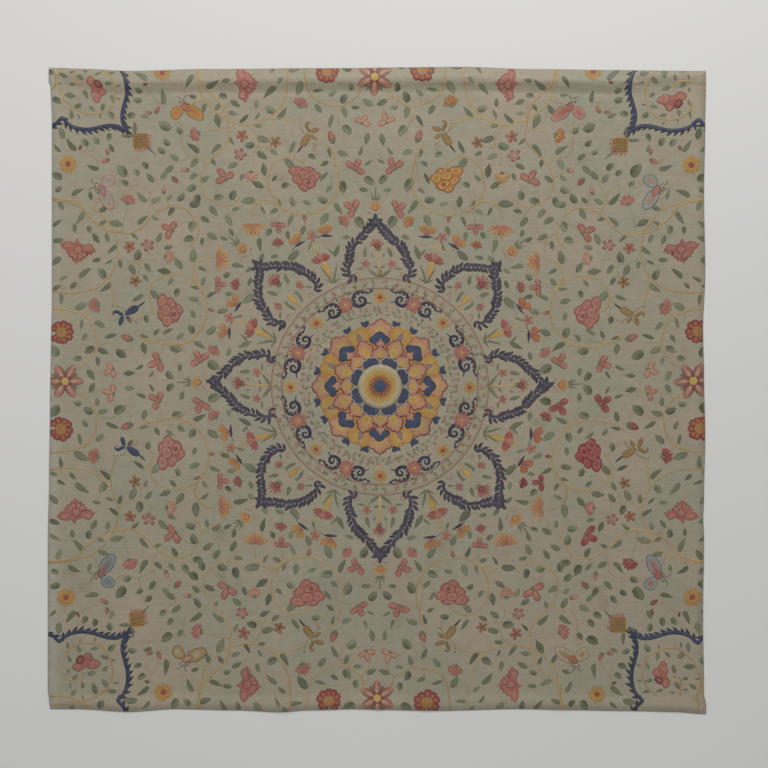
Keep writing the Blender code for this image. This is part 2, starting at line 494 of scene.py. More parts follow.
# How far the stitching strays from its chart, in squares, measured in the photo at the garlands' tips,
# the peonies, the brackets and the flowers of the sides; from the top left, 16 squares apart
STRAY_STEP = 16.0
STRAY = np.array((
    ((0.2, 0.3), (-0.1, -0.2), (-0.6, -0.65), (-0.5, -0.1), (-0.4, 0.3)),
    ((0.1, 0.4), (-0.1, 0.1), (-0.45, -0.2), (-0.5, -0.15), (-0.2, 0.4)),
    ((0.0, 0.6), (0.05, 0.45), (0.0, 0.0), (-0.1, 0.15), (0.0, 0.65)),
    ((0.2, 0.75), (0.25, 0.7), (0.0, -0.1), (0.0, 0.5), (-0.1, 0.75)),
    ((0.3, 0.9), (0.1, 0.6), (-0.3, 0.3), (-0.1, 0.5), (-0.3, 0.9)),
))
RINGS_REACH, FIELD_REACH = 10.5, 15.5


def strayed(points):
    """Chart points where the needle really put them; the medallion and its rings stay true."""
    column = np.clip(points[:, 0] / STRAY_STEP + 2, 0, 3.999)
    row = np.clip(2 - points[:, 1] / STRAY_STEP, 0, 3.999)
    left, over = column.astype(int), row.astype(int)
    right_share, low_share = (column - left)[:, None], (row - over)[:, None]
    upper = STRAY[over, left] * (1 - right_share) + STRAY[over, left + 1] * right_share
    lower = STRAY[over + 1, left] * (1 - right_share) + STRAY[over + 1, left + 1] * right_share
    reach = np.hypot(points[:, 0], points[:, 1])[:, None]
    loose = np.clip((reach - RINGS_REACH) / (FIELD_REACH - RINGS_REACH), 0, 1)
    return points + (upper * (1 - low_share) + lower * low_share) * loose * loose * (3 - 2 * loose)


def turned(points, degrees):
    """Flat points turned about the origin."""
    turn = math.radians(degrees)
    return points @ np.array([[math.cos(turn), math.sin(turn)], [-math.sin(turn), math.cos(turn)]])


def flat_mesh(name, places, edges=(), faces=(), **attributes):
    """A mesh with attributes on its points: each is a kind and its values."""
    mesh = bpy.data.meshes.new(name)
    mesh.from_pydata(places, edges, faces)
    for title, (kind, values) in attributes.items():
        field = {"FLOAT_COLOR": "color", "FLOAT_VECTOR": "vector"}.get(kind, "value")
        mesh.attributes.new(title, kind, "POINT").data.foreach_set(field, np.ravel(values))
    return mesh


def chart_places(points, heights=0.0):
    """Chart points where the needle put them, in metres, with a height for each."""
    places = strayed(np.asarray(points)) * SQUARE + MIDDLE
    return np.column_stack([places, np.zeros(len(places)) + heights])


def stitched_mesh(name, places, faces, dyes, stitches):
    """A mesh that carries the dye and the stitch place of each point."""
    solid_dyes = np.column_stack([dyes, np.ones(len(dyes))])
    return flat_mesh(name, places, faces=faces.tolist(), dye=("FLOAT_COLOR", solid_dyes),
                     stitch=("FLOAT_VECTOR", stitches))


class Work:
    """Embroidery drawn flat: points in chart squares with a level, faces, dyes and stitch places."""

    def __init__(self):
        self.parts = []
        self.total = 0

    def add(self, places, levels, faces, dyes, stitches):
        """Adds one closed shape."""
        self.parts.append((np.column_stack([places, levels]), faces + self.total, dyes, stitches))
        self.total += len(places)
        return self

    def joined(self):
        """The points, faces, dyes and stitch places of everything drawn so far."""
        return tuple(np.concatenate(part) for part in zip(*self.parts))

    def object(self, name):
        """Everything drawn as a flat mesh object, in metres."""
        points, faces, dyes, stitches = self.joined()
        mesh = stitched_mesh(name, chart_places(points[:, :2], points[:, 2] * LEVEL), faces, dyes, stitches)
        return linked(bpy.data.objects.new(name, mesh))

    def stamp(self, motif, at=(0, 0), turn=0, size=1.0, flip=1, tint=1.0):
        """Copies another work in: mirrored if flip is -1, then turned, sized and placed."""
        points, faces, dyes, stitches = motif.joined()
        places = turned(points[:, :2] * (flip * size, size), turn) + at
        across = faces[:, ::-1] if flip < 0 else faces
        return self.add(places, points[:, 2], across, dyes * tint, stitches)


# %% Shapes of satin stitch
OUTLINE = 0.07
WIDE_STEP = 0.42


def strip_faces(rows, across):
    """Triangles of a closed strip: a foot point, a tip point, then rows of points over and under."""
    faces = []
    first, last = 2, 2 + across * (rows - 1)
    loop = np.arange(across)
    after = (loop + 1) % across
    for here, there in zip(loop, after):
        faces.append((0, first + there, first + here))
        faces.append((1, last + here, last + there))
    for row in range(rows - 1):
        near = first + across * row
        far = near + across
        for here, there in zip(loop, after):
            faces.append((near + here, near + there, far + there))
            faces.append((near + here, far + there, far + here))
    return np.array(faces)


def petal(work, at, turn, length, width, rim, foot, tip=None, spine=None, blunt=(0.5, 0.8), bend=0.0,
          level=0.0, rows=6, outline=None):
    """A petal or leaf that grows from its foot: blunt says how round its foot and its tip are."""
    rim, foot, tip, spine = dyed(rim), dyed(foot), dyed(foot if tip is None else tip), dyed(spine)
    along = 0.5 - 0.5 * np.cos(np.pi * np.arange(1, rows + 1) / (rows + 1))
    foot_power, tip_power = blunt
    widest = foot_power / (foot_power + tip_power)
    most = widest ** foot_power * (1 - widest) ** tip_power
    half = width / 2 * along ** foot_power * (1 - along) ** tip_power / most
    # From the rim to the spine: sunk rim, crest of the outline, edge of the fill, and the fill
    edge = np.minimum(min(OUTLINE, 0.24 * width) if outline is None else outline, 0.55 * half)
    steps = max(1, math.ceil((width / 2 - OUTLINE) / WIDE_STEP))
    fill = [(half - edge) * share for share in np.linspace(1, 0, steps + 1)]
    one_side = [half, half - 0.3 * edge, *fill]
    offsets = np.array([*one_side, *(-side for side in one_side[-2::-1])])
    levels = [SUNK, CREST, *np.linspace(SHOULDER, TOP, steps + 1)]
    levels = [*levels, *levels[-2::-1]]
    shades = [rim, rim, *([None] * steps), spine]
    shades = [*shades, *shades[-2::-1]]
    if steps > 1:
        offsets = np.vstack([offsets, np.zeros(rows)])
        levels.append(SUNK)
        shades.append(rim)
    across = len(levels)
    x = np.repeat(along * length, across)
    side_ways = offsets.T.ravel()
    y = side_ways + bend * np.repeat(along ** 2, across) * length
    ends = np.array([[0, 0], [length, bend * length]])
    places = turned(np.vstack([ends, np.column_stack([x, y])]), turn) + at
    heights = np.concatenate([[SUNK, SUNK], np.tile(levels, rows)]) + level
    fills = foot + (tip - foot) * along[:, None]
    columns = [fills if shade is None else np.repeat([shade], rows, axis=0) for shade in shades]
    dyes = np.stack(columns, axis=1).reshape(-1, 3)
    stitches = np.column_stack([x, side_ways, np.zeros_like(x)])
    stitches = np.vstack([[[0, 0, 0], [length, 0, 0]], stitches])
    return work.add(places, heights, strip_faces(rows, across), np.vstack([rim, rim, dyes]), stitches)


def ring_faces(count, rings):
    """Triangles between rings of points, one inside another, and from the inmost to a last point."""
    here = np.arange(count)
    after = (here + 1) % count
    faces = []
    for near in range(0, count * (rings - 1), count):
        far = near + count
        faces += [np.column_stack([near + here, near + after, far + after]),
                  np.column_stack([near + here, far + after, far + here])]
    last = count * (rings - 1)
    faces.append(np.column_stack([last + here, last + after, np.full(count, count * rings)]))
    return here, after, faces


def concentric(work, loops, heart_at, rim, fill, heart, level):
    """A closed shape from loops that shrink from its rim to its heart."""
    rim, fill, heart = dyed(rim), dyed(fill), dyed(heart)
    count = len(loops[0])
    rounds = len(loops) - 2
    heights = [SUNK, CREST, *np.linspace(SHOULDER, TOP, rounds + 1)[:-1]]
    shades = [rim, rim, *(fill + (heart - fill) * share for share in np.linspace(0, 1, rounds + 1)[:-1])]
    here, after, faces = ring_faces(count, len(loops))
    faces.append(np.column_stack([after, here, np.full(count, len(loops) * count + 1)]))
    places = np.vstack([*loops, [heart_at, heart_at]])
    levels = np.concatenate([np.repeat(heights, count), [TOP, SUNK]]) + level
    dyes = np.vstack([np.repeat(shades, count, axis=0), heart, rim])
    away = places - heart_at
    reach = np.hypot(*away.T)
    sweep = np.arctan2(away[:, 1], away[:, 0]) * max(0.3, reach.max())
    stitches = np.column_stack([reach, sweep, np.zeros_like(sweep)])
    return work.add(places, levels, np.concatenate(faces), dyes, stitches)


def patch(work, at, radius, rim, fill, heart=None, level=0.0, turn=0.0, squash=1.0, lobes=0, depth=0.0,
          count=14, outline=None):
    """A round or lobed patch, its stitches running out from its heart."""
    angle = np.arange(count) * 2 * np.pi / count
    reach = radius * (1 + depth * np.cos(lobes * angle))
    edge = min(OUTLINE, 0.25 * radius) if outline is None else outline
    rounds = max(1, math.ceil((radius - edge) / WIDE_STEP))
    reaches = [reach, reach - 0.6 * edge]
    reaches += [(reach - edge) * share for share in np.linspace(1, 0, rounds + 1)[:-1]]
    circle = np.column_stack([np.cos(angle), np.sin(angle) * squash])
    loops = [turned(circle * part[:, None], turn) + at for part in reaches]
    return concentric(work, loops, np.array(at, float), rim, fill, fill if heart is None else heart, level)


def region(work, loop, heart_at, rim, fill, heart=None, level=0.0, outline=0.1, steps=2, turn=0.0, at=(0, 0)):
    """A shape inside a smooth closed curve, every point of which its heart can see."""
    loop = np.array(loop, float)
    count = len(loop) * steps
    curve = smooth(np.vstack([loop[-2:], loop, loop[:2]]), steps)[2 * steps:2 * steps + count]
    ahead = np.roll(curve, -1, axis=0)
    if (curve[:, 0] * ahead[:, 1] - curve[:, 1] * ahead[:, 0]).sum() < 0:
        curve = curve[::-1]
    inwards = np.array(heart_at) - curve
    reach = np.linalg.norm(inwards, axis=1)[:, None]
    inner = curve + inwards / reach * np.minimum(outline, 0.5 * reach)
    rounds = max(1, math.ceil((reach.max() - outline) / WIDE_STEP))
    loops = [curve, curve + 0.6 * (inner - curve)]
    loops += [inner + (np.array(heart_at) - inner) * share for share in np.linspace(0, 1, rounds + 1)[:-1]]
    loops = [turned(part, turn) + at for part in loops]
    middle = turned(np.array([heart_at], float), turn)[0] + at
    return concentric(work, loops, middle, rim, fill, fill if heart is None else heart, level)


def mirrored(half):
    """A closed loop from its half above the x axis, given from the foot to the tip."""
    half = np.array(half, float)
    return np.vstack([half, half[-2:0:-1] * (1, -1)])


def smooth(points, steps=6):
    """A Catmull-Rom curve through the points, which are in chart squares."""
    points = np.array(points, float)
    ends = np.vstack([2 * points[0] - points[1], points, 2 * points[-1] - points[-2]])
    share = np.linspace(0, 1, steps, endpoint=False)[:, None]
    made = []
    for a, b, c, d in zip(ends, ends[1:], ends[2:], ends[3:]):
        made.append(0.5 * (2 * b + (c - a) * share + (2 * a - 5 * b + 4 * c - d) * share ** 2
                           + (3 * b - a - 3 * c + d) * share ** 3))
    return np.vstack([*made, points[-1:]])


def line(work, points, width, colour, level=0.0, ends=1.0, high=CREST):
    """A line of stitches through the points: ends is how wide it still is at its two ends."""
    points = np.asarray(points, float)
    count = len(points)
    ahead = np.gradient(points, axis=0)
    ahead /= np.linalg.norm(ahead, axis=1)[:, None] + 1e-9
    left = np.column_stack([-ahead[:, 1], ahead[:, 0]])
    share = np.linspace(0, 1, count)
    # The sunk rim is hidden, so the line is drawn wider by what it loses there
    half = (width / 2 * (ends + (1 - ends) * np.sin(np.pi * share)))[:, None] * (high - SUNK) / high
    places = np.stack([points + left * half, points, points - left * half], axis=1).reshape(-1, 2)
    levels = np.tile([SUNK, high, SUNK], count) + level
    near = np.arange(count - 1) * 3
    far = near + 3
    faces = np.concatenate([
        np.column_stack([near, near + 1, far + 1]), np.column_stack([near, far + 1, far]),
        np.column_stack([near + 1, near + 2, far + 2]), np.column_stack([near + 1, far + 2, far + 1]),
        np.column_stack([near, far, far + 2]), np.column_stack([near, far + 2, near + 2]),
        [[0, 2, 1], [3 * count - 3, 3 * count - 2, 3 * count - 1]],
    ])
    travel = np.concatenate([[0], np.cumsum(np.linalg.norm(np.diff(points, axis=0), axis=1))])
    stitches = np.column_stack([np.repeat(travel, 3), np.tile([width / 2, 0, -width / 2], count),
                                np.zeros(3 * count)])
    return work.add(places, levels, faces, np.repeat([dyed(colour)], 3 * count, axis=0), stitches)

# %% [markdown]
# ## From flat drawing to a piece on the cloth
#
# A finished drawing becomes one mesh. It is cut off at the edges of the cloth, as the real pattern runs
# into the hem, and over the rolled hems and the ridge its triangles are split, so that they can follow
# the bend. Then the tree lays it on the folds. Cutting the flat mesh with planes is simpler than a
# Boolean, and the cut edges are filled again, so that every piece stays closed.

# %% Making a piece
EDGE_MARGIN = 0.002
BEND_BAND = 0.062
BEND_STEP = 0.0065


def cut_at_hems(flat):
    """Cuts the flat work off just inside the four edges, and closes the cuts."""
    for axis, half in ((0, HALF_WIDTH - EDGE_MARGIN), (1, HALF_LENGTH - EDGE_MARGIN)):
        for side in (1, -1):
            place = [0.0, 0.0, 0.0]
            facing = [0.0, 0.0, 0.0]
            place[axis] = half * side
            facing[axis] = side
            geometry = flat.verts[:] + flat.edges[:] + flat.faces[:]
            cut = bmesh.ops.bisect_plane(
                flat, geom=geometry, plane_co=place, plane_no=facing, clear_outer=True
            )
            edges = [item for item in cut["geom_cut"] if isinstance(item, bmesh.types.BMEdge)]
            bmesh.ops.edgeloop_fill(flat, edges=edges)


def split_on_bends(flat):
    """Splits long edges in the bands that the hems and the ridge bend."""
    for _ in range(3):
        long_edges = []
        for edge in flat.edges:
            a, b = edge.verts[0].co, edge.verts[1].co
            inside = min(HALF_WIDTH - max(abs(a.x), abs(b.x)), HALF_LENGTH - max(abs(a.y), abs(b.y)))
            on_ridge = max(a.y, b.y) > RIDGE_Y - RIDGE_INNER
            if (inside < BEND_BAND or on_ridge) and (a - b).length > BEND_STEP:
                long_edges.append(edge)
        bmesh.ops.subdivide_edges(flat, edges=long_edges, cuts=1, use_grid_fill=True)
    bmesh.ops.triangulate(flat, faces=[face for face in flat.faces if len(face.verts) > 3])


def laid_on_cloth(source, name, material):
    """A flat object as a plain closed mesh, cut at the hems and laid on the folds of the cloth."""
    flat = bmesh.new()
    flat.from_mesh(source.data)
    cut_at_hems(flat)
    split_on_bends(flat)
    flat.to_mesh(source.data)
    flat.free()
    source.data.shade_smooth()
    laid_piece = worked(lay_tree, source, name, Cloth=lie_of_cloth, Width=WIDTH, Length=LENGTH,
                        Thickness=THICKNESS, Material=material)
    print(name, len(laid_piece.data.polygons), "faces")
    return laid_piece


def piece_on_cloth(work, name, material):
    """A drawn work as one piece on the cloth."""
    return laid_on_cloth(work.object(name + "_flat"), name, material)

# %% [markdown]
# ## Silk, floss and gold thread
#
# The ground is a plain silk with a fine rib across the cloth, slubs in its threads and a soft sheen,
# greyed in patches and stained brown over the years. A brown line of painted shade darkens it along
# the crease below the top edge, and a paler strip painted along the left edge stands for the light
# that the rolled hem catches there. The floss takes its colour from each shape's dye, streaked by the
# stitches, and shines along them. The vines are a twisted gilt thread, worn to tan. Uneven threads
# and ageing, with the painted crease shade, show in all three, so both are shader node groups: they
# put out masks, and each material mixes its own colours by them. Object coordinates suit the weave,
# the stains and the painted crease shade, which cross the embroidery, and the stitch places suit the
# threads.

# %% Groups shared by the materials
def shader_group(name, inputs, outputs):
    """A shader node group with named inputs and outputs, and its two end nodes."""
    group = bpy.data.node_groups.new(name, "ShaderNodeTree")
    for title, (kind, value) in inputs.items():
        socket = group.interface.new_socket(title, in_out="INPUT", socket_type="NodeSocket" + kind)
        if value is not None:
            socket.default_value = value
    for title in outputs:
        group.interface.new_socket(title, in_out="OUTPUT", socket_type="NodeSocketFloat")
    return group, put(group, "NodeGroupInput").outputs, put(group, "NodeGroupOutput").inputs


def noise(tree, place, scale, detail=2.0, roughness=0.6):
    return put(tree, "ShaderNodeTexNoise", {
        "Vector": place, "Scale": scale, "Detail": detail, "Roughness": roughness,
    }).outputs[0]


def ranged(tree, value, low, high, first=0.0, last=1.0):
    """A value carried from one range to another, and held at its ends."""
    return put(tree, "ShaderNodeMapRange", {
        "Value": value, "From Min": low, "From Max": high, "To Min": first, "To Max": last,
    }).outputs[0]


def stretched(tree, place, *scale):
    """A place with each axis scaled by its own number or socket."""
    factors = put(tree, "ShaderNodeCombineXYZ", dict(enumerate(scale))).outputs[0]
    return put(tree, "ShaderNodeVectorMath", {0: place, 1: factors}, operation="MULTIPLY").outputs[0]


thread_inputs = {"Place": ("Vector", None), "Across": ("Float", 40.0), "Along": ("Float", 2.0)}
thread_group, given, result = shader_group("Uneven threads", thread_inputs, ["Threads"])
thread_place = stretched(thread_group, given["Place"], given["Along"], given["Across"], given["Along"])
thread_group.links.new(noise(thread_group, thread_place, 1.0, 3.0), result["Threads"])

age_and_crease_shade_group, given, result = shader_group("Age", {"Place": ("Vector", None)}, ["Mottle", "Stains_and_crease_shade", "Grain"])
mottle = ranged(age_and_crease_shade_group, noise(age_and_crease_shade_group, given["Place"], 3.4, 5.0), 0.32, 0.68)
age_and_crease_shade_group.links.new(mottle, result["Mottle"])
age_and_crease_shade_group.links.new(noise(age_and_crease_shade_group, given["Place"], 55.0, 3.0), result["Grain"])
blots = ranged(age_and_crease_shade_group, noise(age_and_crease_shade_group, given["Place"], 5.3, 4.0, 0.7), 0.6, 0.76)
place_parts = put(age_and_crease_shade_group, "ShaderNodeSeparateXYZ", {0: given["Place"]}).outputs
# Painted shade: a brown line along the crease below the top edge, where the ridge leaves the silk in shade,
# broken by the noise
CREASE_PLACE, CREASE_REACH = 0.985, 0.01
crease_offset = calculated(age_and_crease_shade_group, "SUBTRACT", place_parts[1], CREASE_PLACE)
crease_away = calculated(age_and_crease_shade_group, "ABSOLUTE", crease_offset)
crease_line = ranged(age_and_crease_shade_group, crease_away, 0.0, CREASE_REACH, 1.0, 0.0)
crease_broken = ranged(age_and_crease_shade_group, noise(age_and_crease_shade_group, given["Place"], 14.0, 3.0), 0.42, 0.62)
painted_crease_shade = calculated(age_and_crease_shade_group, "MULTIPLY", crease_line, crease_broken)
# The stain output joins the real stain blots and the painted crease shade
age_and_crease_shade_group.links.new(calculated(age_and_crease_shade_group, "MAXIMUM", blots, painted_crease_shade), result["Stains_and_crease_shade"])


# %% Silk, floss and gilt materials
def shaded(name, **settings):
    """A new material and its Principled BSDF with plain values set."""
    material = bpy.data.materials.new(name)
    material.use_nodes = True
    principled = material.node_tree.nodes["Principled BSDF"]
    for title, value in settings.items():
        principled.inputs[title.replace("_", " ")].default_value = value
    return material, material.node_tree, principled


def grouped(tree, group, **feed):
    return put(tree, "ShaderNodeGroup", node_tree=group, feed=feed).outputs


def mixed(tree, share, first, second):
    """One colour mixed into another by a share."""
    node = put(tree, "ShaderNodeMix", data_type="RGBA")
    for socket, value in ((node.inputs[0], share), (node.inputs[6], first), (node.inputs[7], second)):
        if isinstance(value, bpy.types.NodeSocket):
            tree.links.new(value, socket)
        else:
            socket.default_value = value if isinstance(value, float) else (*value, 1)
    return node.outputs[2]


def lit(tree, colour, strength):
    """A colour made lighter or darker by a factor."""
    return put(tree, "ShaderNodeVectorMath", {0: colour, "Scale": strength}, operation="SCALE").outputs[0]


def bumped(tree, shader, height, distance, strength=0.6):
    bump = put(tree, "ShaderNodeBump", {"Height": height, "Distance": distance, "Strength": strength})
    tree.links.new(bump.outputs[0], shader.inputs["Normal"])


silk, silk_tree, silk_shader = shaded("silk", Sheen_Weight=0.12, Sheen_Roughness=0.45)
silk_place = put(silk_tree, "ShaderNodeTexCoord").outputs["Object"]
age_and_crease_shade = grouped(silk_tree, age_and_crease_shade_group, Place=silk_place)
slubs = grouped(silk_tree, thread_group, Place=silk_place, Across=190.0, Along=9.0)["Threads"]
ribs = grouped(silk_tree, thread_group, Place=silk_place, Across=900.0, Along=40.0)["Threads"]
ground = mixed(silk_tree, age_and_crease_shade["Mottle"], dye(150, 147, 126), dye(165, 151, 129))
# Painted highlight: the silk is made paler in a strip along the left edge, as the light that the rolled hem
# catches there
LEFT_HIGHLIGHT_STRIP = (-1.046, -1.018)
from_left = put(silk_tree, "ShaderNodeSeparateXYZ", {0: silk_place}).outputs[0]
left_highlight_share = ranged(silk_tree, from_left, *LEFT_HIGHLIGHT_STRIP, 0.45, 0.0)
ground = mixed(silk_tree, left_highlight_share, ground, dye(178, 176, 162))
# The real stains and the painted crease shade turn the ground brown
ground = mixed(silk_tree, ranged(silk_tree, age_and_crease_shade["Stains_and_crease_shade"], 0.0, 1.0, 0.0, 0.42), ground, dye(112, 92, 64))
ground = lit(silk_tree, ground, ranged(silk_tree, slubs, 0.25, 0.75, 0.93, 1.07))
ground = lit(silk_tree, ground, ranged(silk_tree, age_and_crease_shade["Grain"], 0.3, 0.7, 0.95, 1.05))
silk_tree.links.new(ground, silk_shader.inputs["Base Color"])
silk_tree.links.new(ranged(silk_tree, slubs, 0.3, 0.7, 0.46, 0.62), silk_shader.inputs["Roughness"])
bumped(silk_tree, silk_shader, calculated(silk_tree, "ADD", slubs, ribs), 0.0012)


def embroidered(name, across, along, shadow, light, bump, **settings):
    """A floss or thread material: the dye streaked along the stitches, and aged, with the painted crease
    shade, as the ground is.
    """
    material, tree, shader = shaded(name, **settings)
    colour = put(tree, "ShaderNodeAttribute", attribute_name="dye").outputs["Color"]
    stitch = put(tree, "ShaderNodeAttribute", attribute_name="stitch").outputs["Vector"]
    place = put(tree, "ShaderNodeTexCoord").outputs["Object"]
    strands = grouped(tree, thread_group, Place=stitch, Across=across, Along=along)["Threads"]
    broad = grouped(tree, thread_group, Place=stitch, Across=across / 4, Along=along / 2)["Threads"]
    age_and_crease_shade = grouped(tree, age_and_crease_shade_group, Place=place)
    colour = mixed(tree, ranged(tree, broad, 0.45, 0.8, 0.0, 0.16), colour, dye(160, 146, 122))
    # The real stains and the painted crease shade turn the floss brown too
    colour = mixed(tree, ranged(tree, age_and_crease_shade["Stains_and_crease_shade"], 0.0, 1.0, 0.0, 0.25), colour, dye(104, 86, 62))
    colour = lit(tree, colour, ranged(tree, strands, 0.3, 0.7, shadow, light))
    colour = lit(tree, colour, ranged(tree, age_and_crease_shade["Grain"], 0.3, 0.7, 0.92, 1.08))
    tree.links.new(colour, shader.inputs["Base Color"])
    tree.links.new(ranged(tree, strands, 0.3, 0.7, 0.4, 0.58), shader.inputs["Roughness"])
    bumped(tree, shader, strands, bump)
    return material


floss = embroidered("floss", 22.0, 1.3, 0.74, 1.2, 0.0012, Sheen_Weight=0.15, Sheen_Roughness=0.35)
gilt = embroidered("gilt_thread", 2.0, 22.0, 0.8, 1.2, 0.0012, Metallic=0.12, Specular_IOR_Level=0.6)

# %% Eight copies of one part of the pattern
# Each is a turn and a flip that carry the part between the top and the top left corner to its place
ROUND = ((0, 1), (0, -1), (90, 1), (90, -1), (180, 1), (180, -1), (-90, 1), (-90, -1))
COPIES = range(len(ROUND))
QUARTERS = (0, 2, 4, 6)
SEED = 1880
chance = np.random.default_rng(SEED)


def copied(points, copy):
    """Chart points carried to one of the eight copies."""
    turn, flip = ROUND[copy]
    return turned(np.asarray(points, float) * (flip, 1), turn)


def spread(amount, size=None):
    """An even random number either side of nought, or an array of them."""
    return chance.uniform(-amount, amount, size)


HUE_SPREAD = 0.04


def worn(colour, amount=0.1):
    """A dye a little lighter or darker, warmer or cooler, as floss of another dyeing is."""
    return dyed(colour) * (1 + spread(amount)) * (1 + spread(HUE_SPREAD, 3))


# %% [markdown]
# ## The vines
#
# Gold brown vines run over the field in S curves and spirals, couched down in gilt thread. Only the
# part between the top and the corner is charted, in squares, as a needlewoman's pounced pattern would
# be, and it is carried round eight times, each time a little uneven. The lines are edges of a mesh, and
# a Geometry Nodes tree rounds them, spaces their points evenly and sweeps a flat section along them. A
# bevelled curve would do it too, but the tree also keeps the place along the thread for the stitches.

# %% Vine chart
VINE_WIDTH = 0.17
STEM_WIDTH = 0.09
VINES = (
    ((-18.4, 33.2), (-18.25, 31.6), (-18.2, 30.5), (-17.9, 29.9), (-17.7, 29.0), (-17.0, 28.0),
     (-16.2, 27.3), (-15.3, 26.7), (-14.2, 26.4), (-13.2, 26.2), (-12.0, 26.4), (-11.0, 26.8),
     (-10.2, 26.9), (-9.3, 26.9), (-8.4, 26.6), (-7.5, 26.3)),
    ((-18.3, 33.2), (-18.1, 31.6), (-17.9, 30.6), (-17.4, 29.8), (-16.6, 29.1), (-15.8, 28.2),
     (-15.2, 27.05), (-15.1, 26.1), (-15.0, 25.2), (-15.2, 24.5), (-15.8, 23.7), (-16.5, 23.0),
     (-17.2, 22.2), (-17.7, 21.3), (-17.8, 20.5), (-17.7, 19.7), (-17.25, 19.0), (-16.5, 18.5),
     (-15.5, 18.1), (-14.6, 18.2), (-13.75, 18.9)),
    ((-9.1, 33.2), (-8.9, 31.6), (-8.9, 30.4), (-9.1, 29.35), (-9.5, 28.3), (-10.1, 27.6), (-11.0, 26.8)),
    ((-7.3, 33.2), (-7.15, 31.6), (-7.0, 30.4), (-6.5, 29.35), (-5.8, 28.8), (-5.0, 28.4), (-4.2, 28.3),
     (-3.4, 28.2), (-2.6, 28.7), (-1.8, 29.2), (-1.4, 29.9), (-1.3, 30.6)),
    ((-4.9, 24.5), (-4.3, 23.7), (-4.05, 22.8), (-3.8, 21.9), (-3.7, 20.9), (-3.9, 19.7), (-4.3, 18.9),
     (-5.1, 18.1), (-6.2, 17.5), (-7.3, 17.3), (-8.5, 17.4), (-9.3, 17.8), (-10.0, 18.3), (-10.5, 19.0),
     (-10.9, 19.9), (-10.9, 20.9), (-10.65, 21.8), (-10.1, 22.6), (-9.4, 23.0), (-8.6, 23.1),
     (-7.8, 22.9), (-7.3, 22.5), (-7.15, 21.9)),
    ((-9.2, 17.75), (-10.0, 18.25), (-10.6, 18.6), (-11.2, 18.7), (-11.9, 18.45), (-12.4, 18.0),
     (-12.7, 17.3), (-12.7, 16.7)),
)
STEMS = (
    ((-17.2, 22.3), (-18.1, 22.9), (-19.0, 22.9), (-19.8, 22.5), (-20.6, 22.3)),
    ((-19.0, 22.9), (-19.6, 23.6), (-19.8, 24.8), (-19.7, 25.7), (-20.0, 26.5)),
    ((-13.2, 26.2), (-12.5, 25.8), (-12.1, 25.1), (-12.0, 24.3), (-12.3, 23.7), (-12.5, 23.1), (-12.4, 22.3)),
    ((-12.0, 24.1), (-11.3, 24.0), (-10.6, 24.2)),
    ((-12.5, 23.15), (-13.2, 23.1), (-13.7, 23.2)),
    ((-3.4, 28.2), (-3.7, 27.6), (-3.8, 26.9), (-3.5, 26.4), (-3.2, 25.7), (-3.3, 25.0), (-4.3, 25.0)),
    ((-4.05, 22.8), (-4.25, 21.8), (-4.4, 20.9), (-4.3, 19.9), (-4.0, 19.1)),
    ((-9.2, 17.7), (-9.8, 17.4), (-10.0, 16.6)),
    ((-3.75, 21.6), (-3.0, 22.0), (-2.3, 22.1)),
    ((-3.8, 20.0), (-3.1, 19.4), (-2.4, 18.5)),
    ((-17.5, 28.6), (-18.4, 28.3), (-19.2, 27.9)),
    ((-15.1, 25.8), (-16.6, 25.6), (-17.6, 25.2)),
    ((-17.7, 20.9), (-18.5, 21.3), (-19.1, 21.5)),
    ((-16.5, 18.5), (-16.2, 19.6), (-15.6, 20.3)),
    ((-15.5, 18.15), (-14.8, 17.2), (-13.8, 16.8)),
    ((-7.3, 17.3), (-7.3, 17.0), (-7.3, 16.6), (-7.0, 15.9), (-6.7, 15.3)),
    ((-1.7, 29.3), (-1.0, 28.5), (-1.1, 27.4)),
    ((-6.5, 29.3), (-7.2, 28.9), (-7.6, 28.4)),
    ((-21.0, 31.6), (-21.4, 31.3), (-21.8, 31.1)),
    ((-22.2, 27.9), (-22.6, 28.7), (-23.2, 29.7)),
)
CORNER_VINES = (
    ((-32.7, 32.95), (-32.56, 31.35), (-32.4, 30.55), (-32.25, 29.85), (-32.6, 29.35),
     (-33.1, 28.85)),
    ((-31.8, 32.95), (-31.9, 31.35), (-32.05, 30.55), (-32.25, 29.85), (-32.0, 29.05),
     (-31.67, 28.35), (-31.1, 27.7), (-30.4, 27.18), (-29.25, 26.8), (-28.0, 27.05),
     (-26.85, 27.75), (-26.45, 28.85), (-26.45, 29.8), (-26.95, 30.82), (-27.5, 31.2),
     (-28.0, 31.45)),
    ((-30.1, 31.45), (-30.27, 30.62), (-30.14, 29.85), (-29.4, 29.55)),
)

# %% Tree that sweeps a thread along lines
thread_tree, given = geometry_tree(
    "Couched thread", Step="Float", Rise="Float", Square="Float", Material="Material",
)
lines_node = put(thread_tree, "GeometryNodeMeshToCurve", {0: given.outputs["Geometry"]})
rounded_node = put(thread_tree, "GeometryNodeCurveSplineType", {0: lines_node.outputs[0]},
                   spline_type="CATMULL_ROM")
even_node = put(thread_tree, "GeometryNodeResampleCurve", {
    "Curve": rounded_node.outputs[0], "Length": given.outputs["Step"],
}, mode="LENGTH")
half_width = put(thread_tree, "GeometryNodeInputNamedAttribute", {"Name": "half_width"}, data_type="FLOAT")
thread_along = put(thread_tree, "GeometryNodeSplineParameter").outputs["Length"]
thread_squares = calculated(thread_tree, "DIVIDE", thread_along, given.outputs["Square"])
stitch_place = put(thread_tree, "ShaderNodeCombineXYZ", {0: thread_squares}).outputs[0]
noted_node = put(thread_tree, "GeometryNodeStoreNamedAttribute", {
    "Geometry": even_node.outputs[0], "Name": "stitch", "Value": stitch_place,
}, data_type="FLOAT_VECTOR", domain="POINT")
